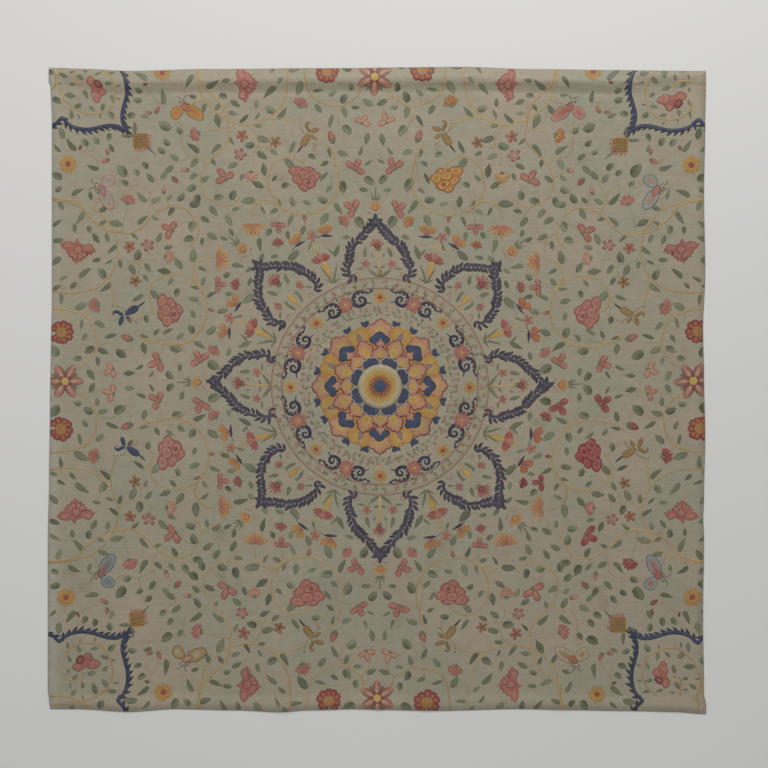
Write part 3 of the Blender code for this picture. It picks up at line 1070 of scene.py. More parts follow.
section_node = put(thread_tree, "GeometryNodeCurvePrimitiveCircle", {"Resolution": 6, "Radius": 1.0})
upright_node = put(thread_tree, "GeometryNodeSetCurveNormal", {0: noted_node.outputs[0]}, mode="Z_UP")
swept_node = put(thread_tree, "GeometryNodeCurveToMesh", {
    "Curve": upright_node.outputs[0], "Profile Curve": section_node.outputs[0],
    "Scale": half_width.outputs[0], "Fill Caps": True,
})
swept_place = put(thread_tree, "ShaderNodeSeparateXYZ", {
    0: put(thread_tree, "GeometryNodeInputPosition").outputs[0],
})
flat_height = calculated(thread_tree, "MULTIPLY", swept_place.outputs[2], given.outputs["Rise"])
flat_place = put(thread_tree, "ShaderNodeCombineXYZ", {
    0: swept_place.outputs[0], 1: swept_place.outputs[1], 2: flat_height,
})
flattened = put(thread_tree, "GeometryNodeSetPosition", {
    "Geometry": swept_node.outputs[0], "Position": flat_place.outputs[0],
})
end_tree(thread_tree, flattened.outputs[0], given.outputs["Material"])


# %% Lines for the threads
class Lines:
    """Lines on the chart, with a width and a dye at each point, and which hand their leaves are on."""

    def __init__(self):
        self.points = []
        self.edges = []
        self.widths = []
        self.dyes = []
        self.hands = []

    def add(self, points, width, colour, ends=1.0, hand=1.0):
        """Adds a line: ends is how wide it still is at its last point."""
        first = len(self.points)
        count = len(points)
        self.points.extend(map(tuple, points))
        self.edges.extend((first + step, first + step + 1) for step in range(count - 1))
        self.widths.extend(width * np.linspace(1, ends, count) / 2)
        self.dyes.extend([dyed(colour)] * count)
        self.hands.extend([hand] * count)

    def object(self, name):
        """The lines as the edges of a mesh, in metres."""
        mesh = flat_mesh(
            name, chart_places(self.points), edges=self.edges, hand=("FLOAT", self.hands),
            half_width=("FLOAT", np.array(self.widths) * SQUARE),
            dye=("FLOAT_COLOR", np.column_stack([self.dyes, np.ones(len(self.points))])),
        )
        return linked(bpy.data.objects.new(name, mesh))


THREAD_STEP = 0.0065
THREAD_RISE = 0.34


def threads_on_cloth(drawn, name, material, rise=THREAD_RISE):
    """Sweeps the lines, and lays the threads on the cloth."""
    flat = worked(thread_tree, drawn.object(name + "_lines"), name + "_flat", Step=THREAD_STEP,
                  Rise=rise, Square=SQUARE, Material=material)
    return laid_on_cloth(flat, name, material)


# %% Draw the vines
vine_lines = Lines()
for copy in COPIES:
    for routes, width, colour in ((VINES, VINE_WIDTH, "vine"), (STEMS, STEM_WIDTH, "stem")):
        for route in routes:
            wander = spread(0.07, (len(route), 2))
            vine_lines.add(copied(route, copy) + wander, width, worn(colour), ends=0.7)
for corner in QUARTERS:
    for route in CORNER_VINES:
        wander = spread(0.06, (len(route), 2))
        vine_lines.add(copied(route, corner) + wander, VINE_WIDTH, worn("vine"))
vines = threads_on_cloth(vine_lines, "vines", gilt)
stitched = [vines]

# %% [markdown]
# ## Kinds of leaf
#
# Every leaf on the cloth is one of a few shapes that a needlewoman repeats: a plain oval, one that
# curls, a broad one with a darker half, a lobed and a slender one. Each kind is made once as a small
# mesh of its own, with a mirrored twin where it isn't even, and a Geometry Nodes tree stamps it wherever
# a point of the drawing says: its turn, size, kind and tint are attributes of the points.

# %% Leaf shapes
def place_of(degrees, reach):
    """The point at a turn and a reach from the origin."""
    return turned(np.array([[reach, 0.0]]), degrees)[0]


def leaf_oval(work):
    petal(work, (-0.5, 0), 0, 1.0, 0.5, "dark_leaf", "leaf", "pale_leaf",
          blunt=(0.62, 0.85), bend=0.05, rows=6, outline=0.07)


def leaf_curled(work):
    petal(work, (-0.5, -0.1), 0, 1.0, 0.42, "dark_leaf", "leaf", "leaf",
          blunt=(0.6, 0.95), bend=0.42, rows=7, outline=0.06)


def leaf_broad(work):
    petal(work, (-0.5, -0.05), -4, 1.0, 0.54, "dark_leaf", "leaf", "pale_leaf",
          blunt=(0.55, 0.7), bend=-0.05, rows=6, outline=0.05)
    petal(work, (-0.42, 0.05), 14, 0.74, 0.34, "dark_leaf", "dark_leaf", "leaf",
          blunt=(0.6, 0.7), bend=-0.22, rows=5, level=0.6, outline=0.04)


def leaf_lobed(work):
    petal(work, (-0.5, 0), 0, 1.0, 0.4, "dark_leaf", "leaf", "leaf", blunt=(0.6, 0.9), rows=5)
    for side in (1, -1):
        petal(work, (-0.32, 0.02 * side), 34 * side, 0.5, 0.24, "dark_leaf", "pale_leaf",
              "leaf", bend=-0.25 * side, rows=4, level=-0.2)
        petal(work, (-0.02, 0.02 * side), 30 * side, 0.34, 0.18, "dark_leaf", "pale_leaf",
              "leaf", bend=-0.25 * side, rows=3, level=-0.2)


def leaf_slender(work):
    petal(work, (-0.5, -0.04), 0, 1.0, 0.34, "dark_leaf", "leaf", "leaf",
          blunt=(0.7, 0.9), bend=0.12, rows=6)


def leaf_garland(work):
    petal(work, (0.04, 0), 0, 0.92, 0.44, "black", "violet", "violet",
          blunt=(0.6, 0.75), bend=0.04, rows=4, outline=0.11)


def leaf_tooth(work):
    petal(work, (0, 0), 0, 0.72, 0.36, "black", "navy", "black", blunt=(0.3, 1.0), rows=4)


def kinds_of_leaf(name, *makers):
    """A collection of leaf meshes, each maker's leaf followed by its mirrored twin."""
    kinds = bpy.data.collections.new(name)
    for number, maker in enumerate(makers):
        for flip in (1, -1):
            drawn = Work()
            maker(drawn)
            twin = Work().stamp(drawn, flip=flip, turn=0 if flip > 0 else 180)
            points, faces, dyes, stitches = twin.joined()
            places = points * (1, 1, LEVEL / SQUARE)
            mesh = stitched_mesh(name, places, faces, dyes, stitches)
            kinds.objects.link(bpy.data.objects.new(f"{name}_{number}_{'b' if flip < 0 else 'a'}", mesh))
    return kinds


field_kinds = kinds_of_leaf("field_leaf", leaf_oval, leaf_curled, leaf_broad, leaf_lobed, leaf_slender)

# %% Tree that stamps leaves on points
leaf_tree, given = geometry_tree("Stamp leaves", Kinds="Collection", Square="Float", Material="Material")


def named(tree, name, data_type="FLOAT"):
    """A named attribute of the points."""
    return put(tree, "GeometryNodeInputNamedAttribute", {"Name": name}, data_type=data_type).outputs[0]


kinds_node = put(leaf_tree, "GeometryNodeCollectionInfo", {
    "Collection": given.outputs["Kinds"], "Separate Children": True, "Reset Children": True,
})
leaf_size = calculated(leaf_tree, "MULTIPLY", named(leaf_tree, "size"), given.outputs["Square"])
leaf_scale = put(leaf_tree, "ShaderNodeCombineXYZ", {0: leaf_size, 1: leaf_size, 2: given.outputs["Square"]})
leaf_turn = put(leaf_tree, "ShaderNodeCombineXYZ", {2: named(leaf_tree, "turn")})
stamped_node = put(leaf_tree, "GeometryNodeInstanceOnPoints", {
    "Points": given.outputs["Geometry"], "Instance": kinds_node.outputs[0], "Pick Instance": True,
    "Instance Index": named(leaf_tree, "kind", "INT"), "Rotation": leaf_turn.outputs[0],
    "Scale": leaf_scale.outputs[0],
})
real_leaves = put(leaf_tree, "GeometryNodeRealizeInstances", {"Geometry": stamped_node.outputs[0]})
tinted = put(leaf_tree, "ShaderNodeVectorMath", {
    0: named(leaf_tree, "dye", "FLOAT_COLOR"), 1: named(leaf_tree, "tint", "FLOAT_VECTOR"),
}, operation="MULTIPLY")
dyed_leaves = put(leaf_tree, "GeometryNodeStoreNamedAttribute", {
    "Geometry": real_leaves.outputs[0], "Name": "dye", "Value": tinted.outputs[0],
}, data_type="FLOAT_COLOR", domain="POINT")
end_tree(leaf_tree, dyed_leaves.outputs[0], given.outputs["Material"])


# %% Points for the leaves
class Leaves:
    """Places on the chart for leaves, each with a turn in degrees, a size, a kind and a tint."""

    def __init__(self):
        self.rows = []

    def add(self, at, turn, size, kind, tint=(1.0, 1.0, 1.0)):
        self.rows.append((*at, turn, size, kind, *tint))

    def add_copy(self, copy, at, turn, size, kind, tint=(1.0, 1.0, 1.0)):
        """The leaf as it comes in one of the eight copies: a flip takes the mirrored twin."""
        round_turn, flip = ROUND[copy]
        there = copied([at], copy)[0]
        if flip > 0:
            self.add(there, turn + round_turn, size, 2 * kind, tint)
        else:
            self.add(there, round_turn + 180 - turn, size, 2 * kind + 1, tint)

    def object(self, name):
        rows = np.array(self.rows)
        mesh = flat_mesh(
            name, chart_places(rows[:, :2]), turn=("FLOAT", np.radians(rows[:, 2])),
            size=("FLOAT", rows[:, 3]), kind=("INT", rows[:, 4].astype(int)),
            tint=("FLOAT_VECTOR", rows[:, 5:]),
        )
        return linked(bpy.data.objects.new(name, mesh))


def leaves_on_cloth(leaves, kinds, name, material):
    """Stamps the leaves, and lays them on the cloth."""
    flat = worked(leaf_tree, leaves.object(name + "_points"), name + "_flat", Kinds=kinds, Square=SQUARE,
                  Material=material)
    return laid_on_cloth(flat, name, material)


# %% [markdown]
# ## Leaves of the field
#
# The leaves fill the ground between the vines and flowers evenly, about two squares apart, and most
# lean away from the nearest vine, some on a thin stem. Placing nine hundred by hand would copy them,
# and Distribute Points on Faces knows nothing of the flowers, so a seeded search drops them one by one
# where there is room, in one eighth of the field, which is then carried round.

# %% Where leaves may go
# Places that hold a flower or a bird, each with the reach that it needs
CLEARINGS = (
    (-7.3, 21.1, 1.75), (-13.2, 30.4, 1.9), (-4.9, 31.6, 1.7), (0.0, 31.2, 2.2),
    (-21.8, 31.1, 1.3), (-19.7, 27.4, 1.6), (-23.9, 24.4, 1.6), (-23.6, 30.1, 0.5),
    (-22.7, 27.4, 0.6), (-18.1, 25.2, 1.0), (-13.7, 25.1, 0.8), (-13.9, 23.2, 0.9),
    (-10.2, 24.5, 0.8), (-12.7, 21.4, 0.9), (-15.4, 20.8, 1.2), (-19.3, 21.6, 0.6),
    (-20.6, 20.6, 0.8), (-7.7, 28.2, 1.1), (-4.4, 25.05, 0.9), (-1.2, 26.8, 1.1),
    (-2.0, 22.2, 1.2), (-2.2, 18.0, 1.2), (-3.4, 16.5, 0.9), (-12.6, 16.3, 1.5),
    (-10.0, 16.2, 1.0), (-7.3, 17.0, 0.5), (-6.6, 15.1, 0.7), (-5.0, 15.3, 1.1),
    (-7.9, 14.4, 1.0), (-10.0, 14.1, 0.8), (0.0, 18.8, 1.3), (-13.6, 13.6, 1.4),
    (-5.6, 12.6, 1.6), (-4.7, 10.9, 1.3), (-6.4, 25.4, 1.6), (-8.6, 26.2, 1.0),
    (-7.2, 24.0, 0.8), (-2.6, 31.2, 0.6), (-6.1, 14.2, 0.9), (-28.1, 29.5, 1.2),
)
AXIS_GARLAND = (
    (-2.35, 11.15), (-2.6, 10.88), (-3.0, 10.95), (-3.2, 11.7), (-2.95, 12.6), (-2.8, 13.45), (-2.4, 14.25),
    (-1.7, 14.9), (-1.05, 15.6), (-0.5, 16.2), (0.0, 16.75),
)
CORNER_GARLAND = (
    (-6.45, 9.45), (-6.2, 9.85), (-6.35, 10.5), (-6.9, 11.05), (-7.6, 11.55), (-8.3, 11.9), (-9.2, 12.05),
    (-10.2, 12.0), (-11.2, 11.9), (-12.0, 12.0),
)
BRACKET = (
    (-25.6, 33.0), (-25.75, 32.5), (-26.3, 31.95), (-25.85, 31.4), (-25.5, 30.8), (-25.3, 29.85),
    (-25.35, 28.9), (-25.6, 28.0), (-25.8, 27.1), (-25.75, 26.2), (-25.3, 25.3),
)
FIELD_TOP = 32.6
BRACKET_SIDE = -25.7
RINGS_END = 11.4
AXIS_ROOM, DIAGONAL_ROOM, WALL_ROOM = 0.55, 0.45, 0.9


def heading_of(step):
    """The direction of a flat step, in degrees from +x."""
    return math.degrees(math.atan2(step[1], step[0]))


def nearest(points, place):
    """The nearest of some points, and how far it is."""
    away = np.linalg.norm(points - place, axis=1)
    return int(away.argmin()), float(away.min())


stem_curves = [smooth(route, 8) for route in (*VINES, *STEMS, *CORNER_VINES)]
stem_points = np.vstack(stem_curves)
stem_ahead = np.vstack([np.gradient(curve, axis=0) for curve in stem_curves])
wall_points = np.vstack([smooth(route, 8) for route in (AXIS_GARLAND, CORNER_GARLAND, BRACKET)])
wall_points = np.vstack([wall_points, wall_points[:, ::-1] * -1])


def leaf_has_room(place, reach):
    """Whether a leaf's middle can lie here, clear of the flowers, vines, garlands, rings and edges."""
    x, y = place
    if x > -AXIS_ROOM or y < DIAGONAL_ROOM - x or y > FIELD_TOP:
        return False
    if math.hypot(x, y) < RINGS_END or x < BRACKET_SIDE:
        return False
    if abs(x) < 3.2 and y < 15.6 - 1.1 * abs(x) + 1.6 and y < 15.8:
        return False
    if y < 12.3 and -12.3 < x < -6.3:
        return False
    if any(math.hypot(x - east, y - north) < 0.92 * need + 0.28 * reach for east, north, need in CLEARINGS):
        return False
    return nearest(stem_points, place)[1] > 0.36 * reach and nearest(wall_points, place)[1] > WALL_ROOM


# The leaves round the corner flower: place, turn, size and kind
CORNER_LEAVES = (
    (-31.5, 30.5, -35, 0.85, 0), (-29.9, 30.4, -50, 0.85, 0), (-31.9, 29.7, 10, 0.55, 4),
    (-30.6, 29.7, 5, 0.7, 0), (-29.5, 28.8, -75, 0.95, 0), (-31.0, 28.6, 5, 1.25, 3),
    (-32.4, 28.1, -25, 1.0, 2), (-30.3, 27.6, 35, 1.0, 0), (-28.9, 27.4, -50, 0.75, 0),
    (-31.0, 26.8, 85, 0.95, 0), (-30.2, 26.5, -75, 0.6, 4), (-27.8, 27.6, 70, 0.85, 0),
    (-26.8, 26.9, -40, 0.9, 2), (-26.9, 28.5, -75, 0.75, 0), (-27.0, 30.0, 10, 0.8, 0),
    (-26.2, 29.9, 0, 0.5, 4), (-26.1, 28.5, -30, 0.5, 4), (-28.1, 31.0, 20, 0.8, 4),
    (-29.3, 31.1, -10, 0.5, 0), (-26.8, 31.1, 5, 0.8, 4), (-30.7, 30.9, 0, 0.6, 4),
    (-28.0, 26.7, 80, 0.5, 4), (-32.9, 30.9, -10, 0.8, 2),
)

# %% Drop the leaves
LEAF_TRIES = 9000
MOST_LEAVES = 400
LEAF_REACHES, REACH_SHARES = (0.9, 1.15, 1.35, 1.5), (0.2, 0.3, 0.3, 0.2)
KIND_SHARES = (0.38, 0.18, 0.22, 0.08, 0.14)
LEAF_SPACING = 0.585
LEANS_WITHIN, STEM_WITHIN = 2.1, 1.7
MOST_LEAN = 50
field_leaves = []
for _ in range(LEAF_TRIES):
    place = np.array([chance.uniform(-26.0, -0.3), chance.uniform(9.0, FIELD_TOP)])
    reach = chance.choice(LEAF_REACHES, p=REACH_SHARES)
    crowded = (
        math.hypot(*(place - other[0])) < LEAF_SPACING * (reach + other[2]) for other in field_leaves
    )
    if not leaf_has_room(place, reach) or any(crowded):
        continue
    on_vine, away = nearest(stem_points, place)
    if away < LEANS_WITHIN:
        facing = heading_of(place - stem_points[on_vine])
        lean = (heading_of(stem_ahead[on_vine]) - facing + 180) % 360 - 180
        facing += max(-MOST_LEAN, min(MOST_LEAN, 0.5 * lean)) + spread(18)
    else:
        facing = chance.uniform(0, 360)
    kind = int(chance.choice(len(KIND_SHARES), p=KIND_SHARES))
    field_leaves.append((place, facing, reach, kind, on_vine if away < STEM_WITHIN else None))
    if len(field_leaves) == MOST_LEAVES:
        break
print(len(field_leaves), "leaves in an eighth")

all_leaves = Leaves()
leaf_stems = Lines()
for copy in COPIES:
    for place, facing, reach, kind, on_vine in field_leaves:
        there = place + spread(0.12, 2)
        lean = facing + spread(9)
        size = reach * (1 + spread(0.1))
        tint = worn(np.ones(3), 0.16) * chance.choice([1.0, 1.0, 0.8, 1.12])
        all_leaves.add_copy(copy, there, lean, size, kind, tint)
        if on_vine is not None:
            foot = there - place_of(lean, size * 0.45)
            root = stem_points[on_vine]
            half_way = (foot + root) / 2 + spread(0.08, 2)
            if math.hypot(*(foot - root)) > 0.15:
                leaf_stems.add(copied([root, half_way, foot], copy), 0.06, worn("stem"), ends=0.8)
for copy in QUARTERS:
    for x, y, turn, size, kind in CORNER_LEAVES:
        there = np.array([x, y]) + spread(0.08, 2)
        all_leaves.add_copy(copy, there, turn + spread(8), size, kind, worn(np.ones(3), 0.16))
stitched.append(leaves_on_cloth(all_leaves, field_kinds, "field_leaves", floss))
stitched.append(threads_on_cloth(leaf_stems, "leaf_stems", floss))

# %% [markdown]
# ## The leaf garlands
#
# Eight pointed garlands stand round the ring like petals. Each is a stem with pairs of small navy and
# violet leaves that lean towards the tip. The tree walks along the stem's line at an even step and
# stamps a leaf on either side, so that one line and three numbers give the whole garland.

# %% Tree for pairs of leaves along a line
garland_tree, given = geometry_tree(
    "Leaf garland", Kinds="Collection", Step="Float", Size="Float", Lean="Float", Square="Float",
    Both="Bool", Seed="Int", Material="Material",
)
path_node = put(garland_tree, "GeometryNodeMeshToCurve", {0: given.outputs["Geometry"]})
path_round = put(garland_tree, "GeometryNodeCurveSplineType", {0: path_node.outputs[0]},
                 spline_type="CATMULL_ROM")
walk_node = put(garland_tree, "GeometryNodeCurveToPoints", {
    "Curve": path_round.outputs[0], "Length": given.outputs["Step"],
}, mode="LENGTH")
ahead = put(garland_tree, "ShaderNodeSeparateXYZ", {0: walk_node.outputs["Tangent"]})
heading = calculated(garland_tree, "ARCTAN2", ahead.outputs[1], ahead.outputs[0])
kinds_node = put(garland_tree, "GeometryNodeCollectionInfo", {
    "Collection": given.outputs["Kinds"], "Separate Children": True, "Reset Children": True,
})
sides = []
for side in (0, 1):
    sign = 1 - 2 * side
    lean = calculated(garland_tree, "MULTIPLY", given.outputs["Lean"], sign)
    lean = calculated(garland_tree, "MULTIPLY", lean, named(garland_tree, "hand"))
    index = put(garland_tree, "GeometryNodeInputIndex").outputs[0]
    wobble = put(garland_tree, "FunctionNodeRandomValue", {"Min": -0.16, "Max": 0.16, "ID": index,
                                                           "Seed": given.outputs["Seed"]})
    turn = calculated(garland_tree, "ADD", calculated(garland_tree, "ADD", heading, lean),
                      wobble.outputs["Value"])
    grown = put(garland_tree, "FunctionNodeRandomValue", {"Min": 0.86, "Max": 1.14, "ID": index,
                                                          "Seed": given.outputs["Seed"]})
    metres = calculated(garland_tree, "MULTIPLY", calculated(
        garland_tree, "MULTIPLY", given.outputs["Size"], grown.outputs["Value"]), given.outputs["Square"])
    leaf = put(garland_tree, "GeometryNodeInstanceOnPoints", {
        "Points": walk_node.outputs["Points"], "Instance": kinds_node.outputs[0], "Pick Instance": True,
        "Instance Index": side,
        "Rotation": put(garland_tree, "ShaderNodeCombineXYZ", {2: turn}).outputs[0],
        "Scale": put(garland_tree, "ShaderNodeCombineXYZ", {
            0: metres, 1: metres, 2: given.outputs["Square"],
        }).outputs[0],
    })
    sides.append(leaf.outputs[0])
other_side = put(garland_tree, "GeometryNodeSwitch", {"Switch": given.outputs["Both"], "True": sides[1]},
                 input_type="GEOMETRY")
pair_node = put(garland_tree, "GeometryNodeJoinGeometry")
garland_tree.links.new(sides[0], pair_node.inputs[0])
garland_tree.links.new(other_side.outputs[0], pair_node.inputs[0])
shade = put(garland_tree, "FunctionNodeRandomValue", {"Min": 0.62, "Max": 1.3, "Seed": given.outputs["Seed"]})
real_pair = put(garland_tree, "GeometryNodeStoreNamedAttribute", {
    "Geometry": pair_node.outputs[0], "Name": "shade", "Value": shade.outputs["Value"],
}, data_type="FLOAT", domain="INSTANCE")
real_pair = put(garland_tree, "GeometryNodeRealizeInstances", {"Geometry": real_pair.outputs[0]})
shaded_pair = put(garland_tree, "ShaderNodeVectorMath", {
    0: named(garland_tree, "dye", "FLOAT_COLOR"), "Scale": named(garland_tree, "shade"),
}, operation="SCALE")
dyed_pair = put(garland_tree, "GeometryNodeStoreNamedAttribute", {
    "Geometry": real_pair.outputs[0], "Name": "dye", "Value": shaded_pair.outputs[0],
}, data_type="FLOAT_COLOR", domain="POINT")
end_tree(garland_tree, dyed_pair.outputs[0], given.outputs["Material"])

# %% Draw the garlands
GARLAND_STEP, GARLAND_LEAF, GARLAND_LEAN = 0.4, 0.84, 37
garland_kinds = kinds_of_leaf("garland_leaf", leaf_garland)
garland_lines = Lines()
garland_stems = Lines()
for copy in COPIES:
    for route in (AXIS_GARLAND, CORNER_GARLAND):
        wander = spread(0.05, (len(route), 2))
        wander[-1] = 0
        points = copied(np.array(route) + wander, copy)
        garland_lines.add(points, 0.1, "navy")
        garland_stems.add(points, 0.06, worn("lilac"))
flat_garlands = worked(garland_tree, garland_lines.object("garland_lines"), "garlands_flat",
                       Kinds=garland_kinds, Step=GARLAND_STEP * SQUARE, Size=GARLAND_LEAF,
                       Lean=math.radians(GARLAND_LEAN), Square=SQUARE, Both=True, Seed=5, Material=floss)
stitched.append(laid_on_cloth(flat_garlands, "garlands", floss))
stitched.append(threads_on_cloth(garland_stems, "garland_stems", floss, rise=0.9))

# %% [markdown]
# ## Flowers
#
# The flowers are worked in a few ways that a pattern book of the time would show: an open rosette, a
# trefoil, a fan, a tulip-like thistle, a lily, a lotus with its stamens, and the round peony. Each is a
# short function that draws petals about its heart, in the dyes it is given, and it is drawn afresh for
# every place, with its petals a little uneven, as no two were stitched alike. A petal's outline is a
# narrow band of the edge's dye just inside its rim.

# %% Ways to work a petal
FLOWER_OUTLINE = 0.13


def edged(work, at, turn, length, width, edge, foot, tip=None, **shape):
    """A petal with a plain outline."""
    petal(work, at, turn, length, width, edge, foot, tip, outline=FLOWER_OUTLINE, **shape)


def lobe(work, at, radius, edge, fill, heart=None, **shape):
    """A round petal with a plain outline."""
    patch(work, at, radius, edge, fill, heart, outline=min(FLOWER_OUTLINE, 0.4 * radius), **shape)


def stalk(work, points, width, colour, level=0.0):
    line(work, smooth(points, 3), width, colour, level=level, ends=0.6)


# %% Kinds of flower
# Every flower grows along +x from the origin at its heart, about one square in size
def rosette(work, edge, fill, heart, petals=5, reach=0.62, wide=0.42):
    start = spread(20)
    for number in range(petals):
        turn = start + 360 * number / petals + spread(6)
        edged(work, place_of(turn, 0.06), turn, reach * (1 + spread(0.1)), wide, edge, heart, fill,
              blunt=(0.7, 0.35), rows=4)
    patch(work, (0, 0), 0.16, edge, heart, level=1.6, count=8)


def trefoil(work, edge, fill, heart):
    for turn, reach in ((0, 1.0), (86, 0.92), (-86, 0.92)):
        edged(work, place_of(turn, 0.06), turn + spread(9), reach * (1 + spread(0.08)), 0.66,
              edge, fill, heart, blunt=(0.6, 0.55), rows=5, bend=spread(0.12))
    for turn in (140, 180, 220):
        petal(work, place_of(turn, 0.02), turn, 0.34, 0.16, "dark_leaf", "leaf", level=1.2, rows=3)
    patch(work, (0.05, 0), 0.13, edge, heart, level=1.7, count=8)


def fan(work, edge, fill, heart, petals=7, half_spread=72, reach=0.95):
    for number in range(petals):
        share = number / (petals - 1) * 2 - 1
        turn = share * half_spread + spread(4)
        edged(work, place_of(turn, 0.1), turn, reach * (1 - 0.18 * abs(share) + spread(0.06)), 0.36, edge,
              fill, heart, blunt=(0.7, 0.5), rows=4, level=0.5 * (number % 2))
    for turn in (120, 180, 240):
        petal(work, (0.04, 0), turn, 0.4, 0.17, "dark_leaf", "leaf", level=1.2, rows=3)


def bud(work, edge, fill, heart):
    edged(work, (-0.3, 0), 0, 1.0, 0.62, edge, fill, heart, blunt=(0.5, 0.75), rows=4)
    for side in (30, -30):
        petal(work, (-0.34, 0), side, 0.55, 0.22, "dark_leaf", "leaf", level=0.9, rows=3,
              bend=-0.25 * np.sign(side))


def thistle(work, edge, fill, heart):
    for number in range(9):
        share = number / 4 - 1
        turn = share * 66 + spread(3)
        petal(work, place_of(turn, 0.15), turn, 0.82 - 0.2 * abs(share), 0.13, edge, fill, edge,
              blunt=(0.5, 0.9), rows=3)
    lobe(work, (0.12, 0), 0.32, edge, heart, fill, level=0.8)
    for turn in (135, 180, 225):
        petal(work, (-0.08, 0), turn, 0.36, 0.17, "dark_leaf", "leaf", level=0.6, rows=3)


def lily(work, edge, fill, heart):
    """Long petals that bend outwards, shaded from rose at the foot to gold."""
    for turn, reach, bend in ((80, 1.45, -0.28), (-80, 1.45, 0.28), (48, 1.2, -0.12), (-48, 1.2, 0.12),
                              (22, 1.3, 0.05), (-22, 1.3, -0.05), (0, 1.4, 0.0)):
        edged(work, place_of(turn, 0.08), turn + spread(5), reach * (1 + spread(0.06)), 0.4, edge, fill,
              heart, blunt=(0.9, 0.65), rows=5, bend=bend, level=0.4 * (abs(turn) < 30))
    for side in (1, -1):
        line(work, [(0.15, 0.05 * side), (0.6, 0.13 * side), (1.05, 0.16 * side)], 0.06, edge, level=1.7)


def ruffled(work, at, turn, length, width, edge, fill, heart, waves=3, depth=0.07, level=0.0):
    """A petal that widens outwards and ends in a scalloped edge."""
    loop = [(0, 0), (0.3 * length, -0.3 * width), (0.62 * length, -0.47 * width)]
    for number in range(2 * waves + 1):
        share = 0.92 * (number / waves - 1)
        bump = depth if number % 2 else -0.6 * depth
        loop.append((length * (0.98 - 0.22 * share * share) + bump, 0.5 * width * share))
    loop += [(0.62 * length, 0.47 * width), (0.3 * length, 0.3 * width)]
    region(work, loop, (0.55 * length, 0), edge, fill, heart, level=level, outline=FLOWER_OUTLINE, steps=1,
           turn=turn, at=at)


def peony(work, edge, fill, heart):
    """The round peony: a ruffled whole, then its lobes one over another, with a dark bowl at its foot."""
    whole = ((-1.37, -1.24), (-1.32, -0.55), (-1.12, -0.25), (-1.26, 0.2), (-1.2, 0.75), (-0.95, 1.1),
             (-0.7, 1.15), (-0.6, 1.58), (-0.14, 1.75), (0.16, 1.42), (0.45, 1.2), (0.85, 1.1),
             (1.12, 0.72), (1.2, 0.3), (1.44, 0.0), (1.34, -0.42), (0.95, -0.8), (0.62, -0.92),
             (0.38, -1.28), (-0.02, -1.5), (-0.26, -1.36), (-0.56, -1.7), (-0.98, -1.8))
    lobes = (
        (((-1.15, -0.2), (-1.14, 0.3), (-1.02, 0.86), (-0.72, 0.7), (-0.62, 0.1)), (-0.9, 0.3), 0.8),
        (((-1.25, -1.2), (-1.18, -0.5), (-0.8, -0.36), (-0.45, -0.7), (-0.38, -1.3), (-0.94, -1.66)),
         (-0.8, -1.0), 0.9),
        (((-0.06, -1.38), (0.3, -1.16), (0.58, -0.76), (0.32, -0.38), (-0.06, -0.51), (-0.26, -1.0)),
         (0.15, -0.85), 0.9),
        (((-0.62, 0.48), (-0.78, 0.85), (-0.54, 1.4), (-0.14, 1.6), (0.18, 1.3), (0.36, 0.92), (0.14, 0.6)),
         (-0.2, 1.0), 0.9),
        (((0.76, -0.74), (1.24, -0.38), (1.3, -0.06), (1.06, 0.24), (0.72, -0.1)), (1.0, -0.25), 1.2),
        (((0.14, -0.34), (0.72, -0.14), (1.04, 0.42), (0.78, 0.9), (0.34, 0.84), (0.06, 0.3)),
         (0.5, 0.3), 1.6),
        (((-0.72, -0.62), (-0.86, -0.1), (-0.7, 0.48), (-0.22, 0.56), (0.12, 0.06), (-0.02, -0.48)),
         (-0.4, 0.0), 2.1),
    )
    region(work, whole, (-0.1, -0.05), edge, fill, fill)
    for loop, middle, level in lobes:
        region(work, loop, middle, edge, heart, fill, level=level, steps=2)
    patch(work, (0.48, 0.32), 0.26, "deep_red", edge, fill, level=2.6, lobes=5, depth=0.1)


def tall_peony(work, edge, fill, heart):
    """The corner flower, upright: a pointed foot petal, lobes at its sides and a dark ruffled crown."""
    whole = ((-0.45, 1.43), (-0.06, 1.02), (0.32, 0.99), (0.73, 0.57), (0.7, 0.19), (0.99, -0.19),
             (0.83, -0.57), (0.38, -0.77), (0.19, -1.28), (-0.1, -1.43), (-0.51, -1.08), (-0.73, -0.45),
             (-0.57, 0.06), (-0.96, 0.57), (-0.92, 1.02))
    region(work, whole, (0, 0), edge, fill, fill)
    region(work, whole[9:12] + ((-0.3, -0.3), (0.25, -0.6)), (-0.2, -0.85), edge, heart, fill, level=1.0)
    region(work, ((0.3, -0.55), (0.35, -0.05), (0.7, 0.05), (0.95, -0.22), (0.78, -0.52)), (0.6, -0.27), edge,
           heart, fill, level=1.0)
    region(work, ((-0.45, 1.3), (-0.15, 0.9), (-0.3, 0.45), (-0.8, 0.55), (-0.82, 0.98)), (-0.5, 0.8), edge,
           heart, fill, level=1.0)
    region(work, ((-0.1, 0.95), (0.3, 0.92), (0.66, 0.55), (0.5, 0.15), (0.0, 0.2), (-0.22, 0.5)),
           (0.2, 0.55), "deep_red", edge, fill, level=1.8)


